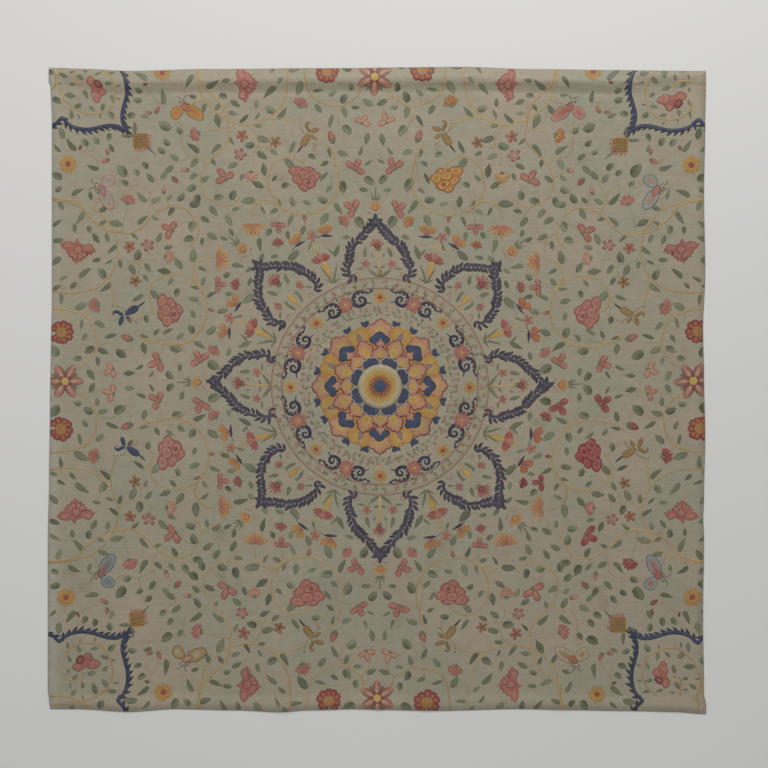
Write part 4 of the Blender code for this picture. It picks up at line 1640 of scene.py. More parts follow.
def winged(work, edge, fill, heart):
    """The flower at the edge: two jagged wings and a fringed body with a round heart."""
    whole = ((-1.22, 0.11), (-0.7, -0.15), (-0.55, -0.6), (-0.58, -1.15), (-0.28, -1.68), (0.11, -1.91),
             (0.2, -1.58), (0.4, -1.42), (0.32, -1.08), (0.64, -1.12), (0.6, -0.82), (0.9, -0.88),
             (0.9, -0.58), (1.24, -0.52), (1.12, -0.24), (1.4, -0.12), (1.28, 0.06), (1.61, 0.15),
             (1.2, 0.3), (1.14, 0.56), (0.88, 0.6), (0.84, 0.94), (0.58, 0.94), (0.44, 1.28), (0.18, 1.2),
             (0.02, 1.58), (-0.46, 1.91), (-0.76, 1.42), (-0.86, 0.88), (-0.7, 0.42))
    region(work, whole, (0.1, 0), edge, fill, fill, steps=1)
    for side, turn in ((-1, -96), (1, 104)):
        ruffled(work, (-0.22, 0.42 * side), turn, 1.15, 0.8, edge, heart, fill, waves=2, level=1.0)
    for turn, level in ((-52, 1.0), (50, 1.0), (-18, 1.6), (20, 1.6)):
        ruffled(work, place_of(turn, 0.25), turn, 0.85, 0.66, edge, heart, fill, waves=2, level=level)
    patch(work, (0.02, -0.02), 0.44, edge, heart, fill, level=2.4, lobes=7, depth=0.08, outline=0.12)


def edge_peony(work, edge, fill, heart):
    for number in range(9):
        turn = -150 + 37 * number
        ruffled(work, place_of(turn, 0.2), turn + spread(6), 1.1 * (1 + spread(0.08)), 0.85,
                edge, fill, heart, waves=2, level=0.4 * (number % 2))
    patch(work, (0, 0), 0.62, "brown", "ochre", heart, level=1.4, lobes=8, depth=0.08, count=16)


def star_flower(work, edge, fill, heart):
    """The pointed flower in the middle of each side."""
    for turn in (0, 60, 120, 180, 240, 300):
        edged(work, place_of(turn, 0.2), turn, 1.75, 1.0, edge, edge, fill, rows=6, blunt=(0.6, 0.7),
              level=0.4 * (turn % 120 == 0))
        petal(work, place_of(turn, 0.5), turn, 1.0, 0.42, fill, heart, fill, level=1.9, rows=4)
    for turn in (30, 150, 210, 330):
        petal(work, place_of(turn, 0.6), turn, 1.0, 0.34, "dark_leaf", "leaf", level=-0.3, rows=4)
    patch(work, (0, 0), 0.45, "ochre", "yellow", level=2.4, lobes=6, depth=0.1, count=12)


def sunflower(work, edge, fill, heart):
    for ring, (count, reach) in enumerate(((18, 1.0), (14, 0.75))):
        for number in range(count):
            turn = 360 * number / count + spread(4) + 7 * ring
            petal(work, place_of(turn, 0.25), turn, reach - 0.25 + spread(0.05), 0.24, edge, fill, fill,
                  rows=4, level=0.9 * ring)
    patch(work, (0, 0), 0.34, "orange", heart, level=2.2, count=12, lobes=6, depth=0.05)


def lotus(work, edge, fill, heart):
    """A lotus on its pale stem: three petals spread on each side of an upright cluster."""
    for side in (1, -1):
        for turn, reach, wide in ((82, 0.98, 0.36), (62, 0.95, 0.38), (40, 0.85, 0.36)):
            edged(work, (0.0, 0.08 * side), turn * side + spread(4), reach, wide, edge, edge, fill,
                  bend=-0.22 * side, rows=5, blunt=(0.7, 0.6))
    for turn, reach in ((20, 0.75), (-20, 0.75), (0, 0.85)):
        edged(work, (0.02, 0), turn, reach, 0.36, edge, fill, heart, rows=5, level=0.9, blunt=(0.7, 0.5))


def pineapple(work, edge, fill, heart):
    """A square fruit hung by its corner: a checked rind, red spikes on the far sides and a dark spear."""
    for number in range(13):
        share = number / 6 - 1
        foot = (0.75 - 0.72 * abs(share), 0.8 * share)
        petal(work, foot, 34 * share + spread(8), 0.62, 0.13, "red", "coral", rows=3, level=-0.2)
    petal(work, (0.7, 0), 0, 1.35, 0.13, "black", "dark_leaf", rows=4, level=0.3)
    region(work, mirrored(((-1.05, 0), (-0.62, 0.52), (0.0, 1.0), (0.55, 0.52), (1.0, 0))), (0, 0),
           edge, fill, heart)
    for number in range(-3, 4):
        for turn in (43, -43):
            middle = place_of(turn + 90, 0.2 * number)
            ends = [middle + place_of(turn, 0.66 * share) for share in (-1, -0.4, 0.4, 1)]
            line(work, ends, 0.06, "brown", level=1.7, ends=0.9)
    for side in (1, -1):
        petal(work, (-0.95, 0.1 * side), 118 * side, 1.15, 0.42, "dark_leaf", "leaf",
              bend=0.25 * side, rows=5)


def spear_thistle(work, edge, fill, heart):
    """The thistle that points away from a garland's tip, with a green spear."""
    for number in range(9):
        turn = -80 + 20 * number
        petal(work, (-0.35, 0), turn, 1.0 - 0.0028 * abs(turn), 0.2, edge, fill, heart, rows=4)
    lobe(work, (-0.25, 0), 0.34, edge, fill, heart, level=0.9)
    for turn, reach in ((0, 1.55), (24, 0.95), (-24, 0.95), (44, 0.6), (-44, 0.6)):
        petal(work, (0.45, 0.01 * turn / 5), turn, reach, 0.15, "dark_leaf", "leaf", rows=4,
              bend=0.002 * turn)
    for side in (1, -1):
        stalk(work, [(-1.1, 0.08 * side), (-0.85, 0.35 * side), (-0.7, 0.62 * side), (-0.95, 0.72 * side)],
              0.07, edge)


# %% Where the flowers stand
Spot = namedtuple("Spot", "maker x y turn size edge fill heart")
SPOTS = (
    Spot(peony, -7.2, 20.95, -90, 1.0, "deep_red", "coral", "pink"),
    Spot(winged, -13.3, 30.2, 0, 0.95, "deep_red", "coral", "pink"),
    Spot(edge_peony, -4.9, 31.75, -90, 1.0, "deep_red", "crimson", "orange"),
    Spot(sunflower, -21.8, 31.3, 0, 1.0, "ochre", "gold", "red"),
    Spot(bud, -23.6, 30.1, 20, 0.55, "deep_red", "red", "deep_red"),
    Spot(bud, -22.3, 27.4, 60, 0.9, "coral", "pink", "coral"),
    Spot(bud, -23.1, 27.3, 170, 0.7, "red", "pink", "coral"),
    Spot(fan, -18.1, 25.2, 200, 0.95, "red", "pink", "coral"),
    Spot(rosette, -13.7, 25.1, 0, 0.95, "brown", "orange", "red"),
    Spot(rosette, -13.9, 23.2, 0, 1.0, "deep_red", "red", "pale_pink"),
    Spot(rosette, -10.2, 24.5, 0, 0.9, "brown", "orange", "brown"),
    Spot(fan, -12.7, 21.4, -90, 0.9, "coral", "pale_pink", "pink"),
    Spot(trefoil, -15.4, 20.8, 120, 1.15, "deep_red", "pink", "coral"),
    Spot(bud, -19.3, 21.6, 190, 0.9, "coral", "pale_pink", "pink"),
    Spot(fan, -7.7, 28.2, 70, 1.0, "deep_red", "coral", "pink"),
    Spot(bud, -4.4, 25.05, 110, 1.3, "red", "pink", "coral"),
    Spot(trefoil, -1.2, 26.8, 70, 0.95, "red", "pale_pink", "pink"),
    Spot(trefoil, -2.0, 22.2, 60, 1.1, "deep_red", "coral", "pink"),
    Spot(trefoil, -2.2, 18.0, 150, 1.1, "deep_red", "coral", "pink"),
    Spot(fan, -3.5, 16.5, 40, 0.85, "red", "coral", "pink"),
    Spot(lily, -12.6, 16.3, -90, 1.0, "coral", "coral", "yellow"),
    Spot(trefoil, -10.0, 16.2, -90, 0.9, "deep_red", "coral", "pink"),
    Spot(bud, -7.3, 17.0, -80, 0.75, "red", "pink", "coral"),
    Spot(rosette, -6.6, 15.1, -90, 0.85, "red", "pink", "coral"),
    Spot(fan, -10.0, 14.1, 100, 0.75, "deep_red", "red", "coral"),
    Spot(lotus, -5.6, 12.5, 108, 1.1, "red", "coral", "pink"),
)
SHARED_SPOTS = (
    Spot(star_flower, 0.0, 31.3, 90, 1.0, "deep_red", "pink", "pale_pink"),
    Spot(spear_thistle, 0.0, 18.4, 90, 1.0, "coral", "orange", "yellow"),
    Spot(thistle, 0.0, 14.0, 90, 1.15, "red", "coral", "deep_red"),
)
DIAGONAL_SPOTS = (
    Spot(pineapple, -23.9, 24.4, -45, 1.0, "ochre", "gold", "ochre"),
    Spot(spear_thistle, -13.7, 13.7, 135, 1.0, "coral", "orange", "yellow"),
    Spot(thistle, -10.1, 10.3, 135, 1.35, "red", "coral", "deep_red"),
    Spot(bud, -20.6, 20.6, -45, 1.0, "deep_red", "red", "coral"),
    Spot(tall_peony, -28.3, 29.35, 0, 1.0, "deep_red", "coral", "pink"),
)


# Some of the eight copies were worked in other dyes: crimson in the lower right, gold in the upper right
CRIMSON = {"deep_red": "crimson", "red": "crimson", "coral": "crimson", "pink": "coral"}
OTHER_DYES = {(maker, 7): CRIMSON for maker in (peony, trefoil, fan, bud)}
OTHER_DYES[(peony, 1)] = {"red": "brown", "coral": "orange", "pink": "yellow"}
OTHER_DYES[(fan, 1)] = {"coral": "orange", "pink": "gold"}


def plant(work, spot, copy):
    """Draws a flower at one of its eight places, in floss of its own dyeing."""
    drawn = Work()
    swaps = OTHER_DYES.get((spot.maker, copy), {})
    names = (swaps.get(name, name) for name in (spot.edge, spot.fill, spot.heart))
    spot.maker(drawn, *(worn(name, 0.07) for name in names))
    turn, flip = ROUND[copy]
    place = copied([(spot.x, spot.y)], copy)[0] + spread(0.08, 2)
    facing = turn + (spot.turn if flip > 0 else 180 - spot.turn) + spread(4)
    work.stamp(drawn, place, facing + (180 if flip < 0 else 0), spot.size * (1 + spread(0.05)), flip=flip)


flowers = Work()
for copy in COPIES:
    for spot in SPOTS:
        plant(flowers, spot, copy)
for copy in QUARTERS:
    for spot in (*SHARED_SPOTS, *DIAGONAL_SPOTS):
        plant(flowers, spot, copy)
stitched.append(piece_on_cloth(flowers, "flowers", floss))

# %% [markdown]
# ## The medallion
#
# The middle of the cloth is a flower seen from above, solid with stitching: a blue eye in a ray
# of red and gold, eight navy scallops, two rounds of rose petals, eight blue crowns, and gold and
# salmon petals outside. It is built up like roof tiles from the outside in, every round a little higher
# than the last. All sizes are radii on the chart, and each round is one loop over its petals.

# %% Solid ground under the medallion
def ground_disc(work, reach, level, colour_at, step=0.34):
    """A flat disc with rings close enough together to follow the cloth."""
    rings = int(reach / step)
    count = int(2 * math.pi * reach / step)
    radii = np.linspace(reach, reach / rings, rings)
    angle = np.arange(count) * 2 * np.pi / count
    circle = np.column_stack([np.cos(angle), np.sin(angle)])
    sheet = np.vstack([*(circle * radius for radius in radii), [[0, 0]]])
    here, after, faces = ring_faces(count, rings)
    top = np.concatenate(faces)
    under = top[:, ::-1] + len(sheet)
    places = np.vstack([sheet, sheet])
    levels = np.concatenate([np.full(len(sheet), level + TOP), np.full(len(sheet), SUNK)])
    rim = np.vstack([np.column_stack([here + len(sheet), after + len(sheet), after]),
                     np.column_stack([here + len(sheet), after, here])])
    reaches = np.hypot(*sheet.T)
    dyes = np.array([colour_at(*point) for point in places])
    stitches = np.column_stack([np.tile(reaches, 2), np.tile(np.arctan2(*sheet.T[::-1]) * 3, 2),
                                np.zeros(2 * len(sheet))])
    return work.add(places, levels, np.concatenate([top, under, rim]), dyes, stitches)


def gold_ground(x, y):
    mottle = 1 + 0.12 * math.sin(3.1 * x + 1.7 * y) * math.cos(2.3 * y - 1.1 * x)
    return DYES["gold"] * mottle


def eye_ground(x, y):
    """Cream outside, then yellow, gold and rust towards the blue eye."""
    reach = math.hypot(x, y) * (1 + 0.03 * math.sin(9 * math.atan2(y, x)))
    bands = (0.62, 0.9, 1.3, 1.65, 1.85, 2.2)
    shades = [DYES[name] for name in ("orange", "gold", "gold", "yellow", "cream", "cream")]
    return np.array([np.interp(reach, bands, [shade[part] for shade in shades]) for part in range(3)])


# %% Rounds of the medallion
def medallion_round(work, maker, turns):
    """Draws one petal of a round at each of its turns, a little uneven."""
    for turn in turns:
        drawn = Work()
        maker(drawn)
        work.stamp(drawn, (0, 0), turn + spread(0.8), 1 + spread(0.012), tint=worn(np.ones(3), 0.07))


def salmon_petal(work):
    """The outermost petal: a broad ogee with a rose outline."""
    half = ((4.6, 0), (4.9, 0.8), (5.3, 1.12), (5.62, 1.1), (5.72, 1.3), (6.08, 1.22), (6.28, 0.98),
            (6.32, 0.66), (6.55, 0.54), (6.7, 0.34), (6.76, 0.14), (6.94, 0))
    region(work, mirrored(half), (5.5, 0), "red", "pink", "yellow", level=1.0, outline=0.2,
           steps=1)


def navy_tip(work):
    """A small navy tip on either side of a salmon petal."""
    loop = ((0.36, 0.44), (0.24, 0.12), (0.34, -0.2), (0.22, -0.46), (-0.14, -0.34), (-0.62, -0.04),
            (-0.24, 0.3))
    for side in (1, -1):
        region(work, np.array(loop) * (1, side), (0, 0), "black", "blue", "blue", level=0.5,
               outline=0.07, turn=14.0 * side, at=place_of(14.0 * side, 6.45))


def gold_petal(work):
    """A broad gold petal of two lobes with a mauve heart."""
    half = ((4.5, 0), (4.7, 0.7), (5.2, 1.05), (5.75, 1.15), (6.15, 0.85), (6.3, 0.45), (6.12, 0.12),
            (6.05, 0))
    region(work, mirrored(half), (5.4, 0), "orange", "gold", "yellow", level=1.5,
           outline=0.07)
    region(work, mirrored(((4.7, 0), (5.0, 0.3), (5.5, 0.22), (5.8, 0))), (5.2, 0), "gold", "lilac",
           "pink", level=2.2, outline=0.05)


def crown(work):
    """A blue crown of three lobes."""
    half = ((4.05, 0), (4.05, 0.4), (4.3, 0.62), (4.4, 0.92), (4.72, 1.06), (4.98, 0.92), (5.1, 0.66),
            (5.34, 0.46), (5.52, 0.22), (5.58, 0))
    region(work, mirrored(half), (4.75, 0), "navy", "blue", "bright_blue", level=3.0,
           outline=0.09)


def rose_petal(work):
    """A round rose petal with a scalloped edge, shaded to gold at its foot."""
    half = ((2.9, 0), (3.05, 0.5), (3.4, 0.8), (3.72, 0.8), (3.9, 0.98), (4.22, 0.92), (4.38, 0.68),
            (4.7, 0.6), (4.82, 0.32), (4.98, 0.18), (5.05, 0))
    region(work, mirrored(half), (3.7, 0), "red", "pink", "yellow", level=4.0, outline=0.19,
           steps=1)
    half = ((3.0, 0), (3.2, 0.4), (3.6, 0.5), (3.9, 0.46), (4.15, 0.24), (4.25, 0))
    region(work, mirrored(half), (3.6, 0), "coral", "yellow", "gold", level=4.7, outline=0.12)


def ogee_petal(work):
    """The pointed rose petal between two round ones, with a pointed tongue that fills the crown's notch."""
    half = ((3.95, 0), (3.98, 0.34), (4.22, 0.5), (4.48, 0.4), (4.6, 0.2), (4.95, 0))
    region(work, mirrored(half), (4.3, 0), "red", "pink", "pale_pink", level=4.4, outline=0.14)
    half = ((2.75, 0), (2.8, 0.55), (3.05, 0.9), (3.35, 0.92), (3.62, 0.74), (3.85, 0.44), (4.02, 0.22),
            (4.22, 0.1), (4.35, 0))
    region(work, mirrored(half), (3.3, 0), "red", "pink", "yellow", level=5.2, outline=0.18)
    patch(work, (3.15, 0), 0.36, "coral", "yellow", "gold", level=6.0, lobes=4, depth=0.08)


def scallop(work):
    """A navy scallop with a pale halo, against the ring of the eye."""
    for swell, names, level in ((0.11, ("cream", "pale_blue", "pale_blue"), 6.4),
                                (0.0, ("navy", "blue", "violet"), 7.2)):
        half = ((2.15, 0), (2.1, 0.7 + swell), (2.45, 0.86 + swell), (2.72, 0.72 + swell),
                (2.9 + swell, 0.6 + swell), (2.94 + swell, 0.36), (2.9 + swell, 0.26),
                (3.04 + swell, 0.14), (3.08 + swell, 0))
        region(work, mirrored(half), (2.5, 0), *names, level=level, outline=0.08)


def eye_ray(work):
    petal(work, (0.5, 0), 0, 0.72, 0.17, "deep_red", "red", "deep_red", blunt=(0.4, 0.9), rows=4,
          level=9.1)


# %% Draw the medallion
EIGHTHS = [45 * number for number in range(8)]
BETWEEN = [45 * number + 22.5 for number in range(8)]
medallion = Work()
ground_disc(medallion, 6.2, 0.0, gold_ground)
medallion_round(medallion, salmon_petal, EIGHTHS)
medallion_round(medallion, navy_tip, EIGHTHS)
medallion_round(medallion, gold_petal, BETWEEN)
medallion_round(medallion, crown, EIGHTHS)
medallion_round(medallion, rose_petal, BETWEEN)
medallion_round(medallion, ogee_petal, EIGHTHS)
medallion_round(medallion, scallop, BETWEEN)
ground_disc(medallion, 2.33, 6.3, lambda x, y: DYES["pink"])
ground_disc(medallion, 2.2, 6.9, eye_ground)
medallion_round(medallion, eye_ray, [360 * number / 24 + spread(3) for number in range(24)])
patch(medallion, (0, 0), 0.62, "violet", "bright_blue", level=10.0, count=20)
stitched.append(piece_on_cloth(medallion, "medallion", floss))

# %% [markdown]
# ## The rings
#
# Three rings stand round the medallion: a cream one sown with tiny sprigs, a ring of navy cloud scrolls
# between rose and gold flowers, and a narrow band of sprigs between fine double lines. The scroll is
# drawn once and stamped sixteen times, mirrored each second time so that its mouth turns to a gold
# flower.

# %% Draw the rings
CLOUD = ((0.83, 0.75), (0.55, 0.62), (0.25, 0.72), (-0.05, 0.84), (-0.45, 0.84), (-0.78, 0.68), (-1.0, 0.38),
         (-1.06, 0.05), (-0.99, -0.25), (-0.8, -0.45), (-0.52, -0.54), (-0.15, -0.47), (0.1, -0.28),
         (0.12, 0.0), (0.02, 0.2), (-0.22, 0.3), (-0.4, 0.2), (-0.41, 0.0), (-0.28, -0.14), (-0.16, -0.1))
CLOUD_TAIL = ((-0.1, -0.45), (0.25, -0.32), (0.7, -0.45))
CLOUD_KNOTS = ((0.84, 0.8, 0.17), (0.68, 1.0, 0.08), (0.32, 0.58, 0.1), (-0.05, 0.66, 0.12),
               (-0.45, 0.62, 0.13), (-0.78, 0.36, 0.13), (-0.83, -0.02, 0.12), (-0.66, -0.3, 0.11),
               (-0.3, -0.38, 0.1), (-1.28, 0.8, 0.12))
SCROLL_RING = 8.82


def cloud_scroll(work):
    """A hooked cloud: a swelling C with a curl inside, knots on its back, and a fine tail."""
    line(work, smooth(CLOUD, 3), 0.33, "navy", ends=0.35, high=1.8)
    line(work, smooth(CLOUD_TAIL, 4), 0.13, "navy", ends=0.5)
    for x, y, radius in CLOUD_KNOTS:
        patch(work, (x, y), radius, "navy", "blue", level=0.3, count=7)


def sprig(work, edge, fill):
    """A tiny flower or bud with two leaves."""
    for turn in (0, 120, 240):
        petal(work, (0.05, 0), turn + spread(25), 0.26, 0.13, edge, fill, rows=3)
    for turn in (150, 210):
        petal(work, (-0.1, 0), turn + spread(12), 0.32, 0.11, "dark_leaf", "leaf", rows=3)


def circle_line(reach, steps=170):
    angle = np.linspace(0, 2 * np.pi, steps)
    return np.column_stack([np.cos(angle), np.sin(angle)]) * reach


rings = Work()
scroll = Work()
cloud_scroll(scroll)
for number in range(16):
    turn = 11.25 + 22.5 * number + spread(0.7)
    # The scroll is drawn with its back outwards, and its mouth turned along the ring
    place = place_of(turn, SCROLL_RING + spread(0.06))
    rings.stamp(scroll, place, turn - 90 + spread(4), 1 + spread(0.05), flip=-1 if number % 2 else 1,
                tint=worn(np.ones(3), 0.2))
for turn in EIGHTHS:
    gold = Work()
    rosette(gold, worn("ochre"), worn("yellow"), worn("orange"), petals=8, reach=0.62, wide=0.36)
    patch(gold, (0, 0), 0.24, "orange", "red", level=2.4, count=10)
    rings.stamp(gold, place_of(turn + spread(0.5), 8.95), turn, 1.0)
for turn in BETWEEN:
    rose = Work()
    for layer, (petals, reach) in enumerate(((13, 0.82), (9, 0.55))):
        rosette(rose, worn("red"), worn("coral"), worn("pink"), petals=petals, reach=reach,
                wide=0.3)
    patch(rose, (0, 0), 0.18, "orange", "yellow", level=2.6, count=8)
    rings.stamp(rose, place_of(turn + spread(0.4), 8.85), turn, 1.0)
SPRIG_RINGS = ((7.25, 74, 0.85), (7.72, 76, 0.85), (10.05, 62, 0.95), (10.42, 62, 0.9))
SPRIG_DYES = (("deep_red", "coral"), ("red", "pink"), ("ochre", "gold"), ("brown", "ochre"),
              ("dark_leaf", "leaf"),
              ("dark_leaf", "pale_leaf"))
for reach, count, size in SPRIG_RINGS:
    for number in range(count):
        edge, fill = SPRIG_DYES[chance.integers(len(SPRIG_DYES))]
        drawn = Work()
        sprig(drawn, edge, worn(fill))
        turn = 360 * (number + spread(0.2)) / count
        rings.stamp(drawn, place_of(turn, reach + spread(0.12)), turn + chance.uniform(0, 360), size)
stitched.append(piece_on_cloth(rings, "rings", floss))

ring_lines = Lines()
for reach, width, colour in ((10.86, 0.07, "red"), (10.72, 0.05, "ochre"), (9.84, 0.07, "red"),
                             (9.7, 0.05, "ochre"), (8.05, 0.06, "pale_pink"), (6.98, 0.09, "cream")):
    ring_lines.add(circle_line(reach), width, worn(colour))
for copy in COPIES:
    for curl in (((-2.75, 10.95), (-2.45, 11.35), (-2.1, 11.3), (-2.05, 11.0), (-2.3, 10.95)),
                 ((-6.6, 9.1), (-6.9, 9.35), (-7.2, 9.2), (-7.1, 8.95), (-6.95, 9.0))):
        ring_lines.add(copied(curl, copy), 0.07, worn("coral"))
stitched.append(threads_on_cloth(ring_lines, "ring_lines", floss, rise=0.6))

# %% [markdown]
# ## Leaves and stems inside the garlands, and under each lotus
#
# A small plant grows from the outer ring into each garland, and a lotus stands in a gold trumpet between
# two of them. They differ from the leaves of the field, so each leaf is given on the chart one by one, as a
# row with its place, turn, length, width, bend and number of rows.

# %% Leaves round the rings
INNER_LEAVES = (
    (-0.05, 10.95, 152, 1.45, 0.34, -0.16, 6), (-0.12, 11.9, 150, 0.55, 0.22, 0.15, 4),
    (-1.35, 13.0, 84, 1.15, 0.4, -0.12, 6), (-0.5, 13.0, 110, 0.5, 0.18, 0, 4),
    (-1.55, 11.8, 176, 0.75, 0.24, 0.1, 4), (-7.7, 8.4, 110, 1.4, 0.34, 0.2, 6),
    (-9.1, 10.2, 100, 1.1, 0.42, 0.1, 6), (-6.75, 9.95, 178, 0.7, 0.26, 0, 4),
    (-8.1, 9.25, 170, 0.55, 0.2, 0, 4),
)
LOTUS_LEAVES = (
    (-4.65, 10.35, 122, 2.0, 0.22, 0.1, 7), (-4.6, 10.35, 82, 2.0, 0.26, -0.08, 7),
    (-4.62, 10.3, 148, 1.0, 0.2, 0.1, 5), (-4.58, 10.3, 52, 0.95, 0.2, -0.2, 5),
)
BUTTERFLY_LEAVES = (
    (-6.9, 13.7, 60, 0.95, 0.28, 0.2, 5), (-4.3, 13.3, 150, 0.9, 0.28, -0.2, 5),
)


def draw_leaves(work, rows, dyes):
    for x, y, turn, length, width, bend, steps in rows:
        petal(work, (x, y), turn, length, width, *dyes, bend=bend, rows=steps)


# %% Draw the leaves round the rings
inner = Work()
for copy in COPIES:
    drawn = Work()
    leaf = ("dark_leaf", worn("leaf"), worn("pale_leaf"))
    draw_leaves(drawn, INNER_LEAVES, leaf)
    stalk(drawn, [(-8.3, 8.6), (-8.2, 9.2), (-8.15, 9.8)], 0.06, "stem")
    draw_leaves(drawn, LOTUS_LEAVES, leaf)
    petal(drawn, (-4.68, 10.4), 111, 2.3, 0.62, "ochre", "gold", "yellow", blunt=(1.3, 0.35), rows=7)
    draw_leaves(drawn, BUTTERFLY_LEAVES, leaf)
    for number in range(5):
        turn = 108 + 17 * (number - 2)
        stalk(drawn, [(-5.9, 13.2), place_of(turn, 1.3) + (-5.85, 13.1)], 0.05, "yellow")
        patch(drawn, place_of(turn, 1.35) + (-5.85, 13.1), 0.08, "ochre", "yellow", count=6)
    pink = Work()
    rosette(pink, "red", worn("pink"), "coral", petals=5, reach=0.42, wide=0.32)
    drawn.stamp(pink, (-1.32, 12.3))
    second = Work()
    fan(second, "red", worn("coral"), "pink", petals=6)
    drawn.stamp(second, (-8.1, 10.0), 40, 0.62)
    turn, flip = ROUND[copy]
    inner.stamp(drawn, (0, 0), turn, 1.0, flip=flip, tint=worn(np.ones(3), 0.08))
for copy in QUARTERS:
    drawn = Work()
    line(drawn, [(0, 10.95), (0.02, 12.0), (0.0, 13.2), (0.0, 13.8)], 0.2, "yellow", ends=0.7)
    petal(drawn, (-7.75, 7.75), 135, 2.0, 0.55, "ochre", "gold", "yellow", blunt=(1.2, 0.35), rows=6)
    turn, flip = ROUND[copy]
    inner.stamp(drawn, (0, 0), turn, 1.0, flip=flip, tint=worn(np.ones(3), 0.08))
stitched.append(piece_on_cloth(inner, "garden_leaves", floss))

# %% [markdown]
# ## The blue brackets
#
# Each corner is fenced off by a blue band of overlapping leaves, smooth on the corner's side and toothed
# on the other. It is the garland's tree again, with a broader leaf on one side only, over a flat band.

# %% Draw the brackets
TOOTH_STEP, TOOTH_LEAN = 0.58, 44
tooth_kinds = kinds_of_leaf("tooth", leaf_tooth)
bracket_lines = Lines()
bracket_bands = Lines()
bracket_edges = Lines()
for copy in COPIES:
    route = np.array(BRACKET)
    hand = ROUND[copy][1]
    bracket_bands.add(copied(route, copy), 0.36, worn("blue", 0.16))
    bracket_edges.add(copied(route - (0.17, 0.0), copy), 0.08, "black")
    bracket_lines.add(copied(route + (0.02, 0), copy), 0.1, "blue", hand=hand)
for name, drawn in (("bracket_bands", bracket_bands), ("bracket_edges", bracket_edges)):
    stitched.append(threads_on_cloth(drawn, name, floss, rise=0.25 if name == "bracket_bands" else 0.9))
flat_teeth = worked(garland_tree, bracket_lines.object("bracket_lines"), "teeth_flat", Kinds=tooth_kinds,
                    Step=TOOTH_STEP * SQUARE, Size=1.0, Lean=math.radians(TOOTH_LEAN),
                    Square=SQUARE, Both=False, Seed=9, Material=floss)
stitched.append(laid_on_cloth(flat_teeth, "bracket_teeth", floss))

# %% [markdown]
# ## Birds, butterflies and moths
#
# Long-tailed birds with barred wings fly over the field, and butterflies and small moths fill the ground
# between the flowers. They are drawn as the flowers are, once for every place, in dyes of their own.

# %% Kinds of creature
def barred(work, points, width, bars):
    """A pale feather along a curve, crossed by dark bars."""
    route = smooth(points, 4)
    line(work, route, width, "cream", ends=0.5)
    for number in range(bars):
        middle = route[round((number + 0.6) / bars * (len(route) - 1) - 0.2)]
        ahead = route[min(len(route) - 1, 2 + round(number / bars * (len(route) - 1)))] - middle
        across = heading_of(ahead) + 90
        foot = middle - place_of(across, 0.42 * width)
        petal(work, foot, across, 0.84 * width, 0.11, "black", "black", level=0.9, rows=3)


def bird(work, edge, body, tail):
    """A long-tailed bird: a full body, a thin bent neck, and barred feathers."""
    barred(work, [(-0.63, 2.1), (-0.54, 1.43), (-0.36, 0.98), (0.09, 0.58)], 0.26, 6)
    barred(work, [(0.4, 0.1), (0.89, -0.36), (1.3, -0.63)], 0.24, 4)
    edged(work, (0.45, 0.85), 18, 1.2, 0.54, edge, body, body, blunt=(0.6, 0.6), rows=5, level=0.4)
    edged(work, (0.5, 0.5), -34, 1.0, 0.46, edge, body, "ochre", rows=5, level=0.4)
    edged(work, (-0.5, -0.78), 58, 1.75, 0.84, edge, body, body, blunt=(0.5, 0.8), rows=7, level=0.8)
    line(work, smooth([(0.38, 0.85), (0.3, 1.15), (0.1, 1.45), (0.1, 1.72)], 4), 0.2, body, level=1.0)
    edged(work, (-0.02, 1.72), 30, 0.45, 0.26, edge, body, body, rows=4, level=1.4)
    petal(work, (0.28, 1.95), -38, 0.34, 0.12, edge, "brown", rows=3, level=1.0)
    petal(work, (-0.36, -0.62), 231, 1.15, 0.21, "black", tail, "black", blunt=(0.3, 0.5), rows=5,
          level=0.5)
    for number in range(3):
        stalk(work, [(0.75 + 0.15 * number, -0.5), (0.8 + 0.12 * number, -0.9), (0.78 + 0.1 * number, -1.35)],
              0.06, "pink")


def butterfly(work, edge, fill, spot_dye):
    """A butterfly that hangs from its crest: two broad wings, a bright body and a barred crest."""
    region(work, ((0.35, 0.2), (0.38, 0.8), (0.08, 1.22), (-0.48, 1.28), (-0.86, 0.92), (-0.66, 0.42),
                  (-0.2, 0.05)), (-0.22, 0.72), edge, fill, spot_dye, outline=0.1)
    region(work, ((0.38, -0.15), (0.36, -0.8), (-0.05, -1.42), (-0.85, -1.82), (-1.22, -1.45), (-0.96, -0.76),
                  (-0.42, -0.15)), (-0.33, -0.85), edge, fill, spot_dye, outline=0.1, level=0.4)
    region(work, ((0.6, 0.1), (0.45, -0.4), (-0.1, -0.8), (-0.3, -0.55), (-0.15, -0.1), (0.2, 0.25)),
           (0.15, -0.2), edge, "coral", spot_dye, outline=0.07, level=1.4)
    barred(work, [(0.75, 0.35), (0.8, 0.0), (0.62, -0.35), (0.4, -0.55)], 0.34, 5)
    for side in (1, -1):
        stalk(work, [(0.8, 0.1 * side), (1.1, 0.2 * side), (1.3, 0.55 * side)], 0.06, "black")


def moth(work, edge, fill, body):
    """A moth with both gold wings raised above a dark body."""
    for turn, reach in ((128, 1.05), (66, 1.0)):
        edged(work, (0.0, -0.1), turn, reach, 0.72, edge, "coral", fill, blunt=(1.1, 0.4), rows=5)
    edged(work, (-0.55, -0.12), -8, 1.15, 0.26, "black", body, "violet", rows=4, level=1.0)
    patch(work, (0.0, 0.1), 0.2, edge, "coral", level=1.6, count=8)
    stalk(work, [(-0.5, -0.1), (-0.85, -0.25), (-1.05, -0.2)], 0.06, body)


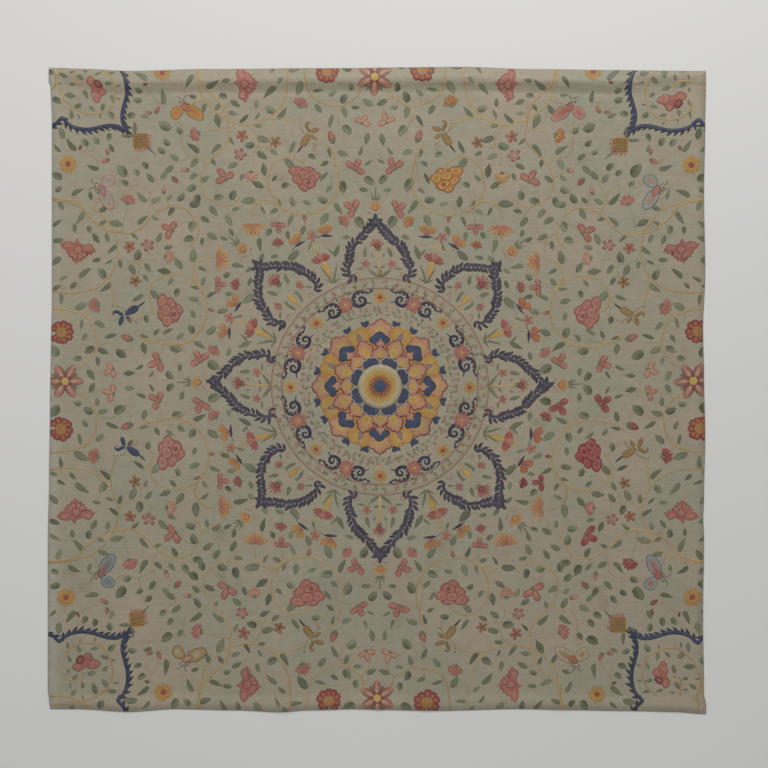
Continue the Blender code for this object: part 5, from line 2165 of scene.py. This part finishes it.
CREATURES = (
    Spot(bird, -7.1, 24.9, 0, 0.92, "brown", "ochre", "black"),
    Spot(butterfly, -19.6, 27.6, 100, 1.12, "brown", "gold", "orange"),
    Spot(moth, -5.0, 15.3, 8, 1.15, "ochre", "gold", "navy"),
    Spot(moth, -7.9, 14.4, 40, 1.1, "ochre", "gold", "navy"),
)
BLUE_BIRD = {"brown": "navy", "ochre": "blue", "black": "violet"}
for copy in (2, 3):
    OTHER_DYES[(bird, copy)] = BLUE_BIRD
WINGS = {1: "lilac pink coral", 2: "navy pale_blue lilac", 3: "lilac pale_pink pale_blue",
         4: "brown cream ochre", 5: "brown ochre cream", 6: "blue pale_blue pink", 7: "blue pale_blue coral"}
for copy, names in WINGS.items():
    OTHER_DYES[(butterfly, copy)] = dict(zip(("brown", "gold", "orange"), names.split()))
for copy in (6, 7):
    OTHER_DYES[(moth, copy)] = {"ochre": "crimson", "gold": "orange"}
creatures = Work()
for copy in COPIES:
    for spot in CREATURES:
        plant(creatures, spot, copy)
stitched.append(piece_on_cloth(creatures, "birds_and_butterflies", floss))

# %% [markdown]
# ## Floor and light
#
# The photo is lit softly from the top edge, which leaves the ridge bright on that side. A big area lamp
# does that, with a pale world for the rest. The view transform is the plain one, so that a dye mixed to
# a colour seen on a screen comes back as that colour.

# %% Floor, lamps and world
FLOOR_SIZE = 12.0
bpy.ops.mesh.primitive_grid_add(x_subdivisions=2, y_subdivisions=2, size=FLOOR_SIZE)
floor = bpy.context.active_object
floor.name = "floor"
pale, pale_tree, pale_shader = shaded("pale_floor", Roughness=0.9)
pale_shader.inputs["Base Color"].default_value = (*dye(226, 225, 222), 1)
floor.data.materials.append(pale)


def lamp(name, location, size, power, colour):
    """A square area lamp that faces the middle of the cloth."""
    data = bpy.data.lights.new(name, "AREA")
    data.size = size
    data.energy = power
    data.color = colour
    light = linked(bpy.data.objects.new(name, data))
    light.location = location
    light.rotation_euler = (-Vector(location)).to_track_quat("-Z", "Y").to_euler()


lamp("key_lamp", (0.7, 4.3, 3.6), 1.8, 162.0, (1.0, 0.99, 0.97))
lamp("side_lamp", (-2.8, 0.6, 2.9), 2.0, 18.0, (1.0, 0.98, 0.95))
lamp("front_lamp", (0.6, -3.0, 2.9), 2.0, 15.0, (0.97, 0.98, 1.0))
world = bpy.data.worlds.new("studio")
world.use_nodes = True
world.node_tree.nodes["Background"].inputs["Color"].default_value = (0.95, 0.97, 1.0, 1)
world.node_tree.nodes["Background"].inputs["Strength"].default_value = 0.33
bpy.context.scene.world = world
bpy.context.scene.view_settings.view_transform = "Standard"

# %% Hand the pieces to the frame
bpy.data.objects.remove(lie_of_cloth, do_unlink=True)
cloth.data.materials.clear()
cloth.data.materials.append(silk)
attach(cloth, "root")
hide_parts("coverlet")
for piece in stitched:
    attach(piece, "root")
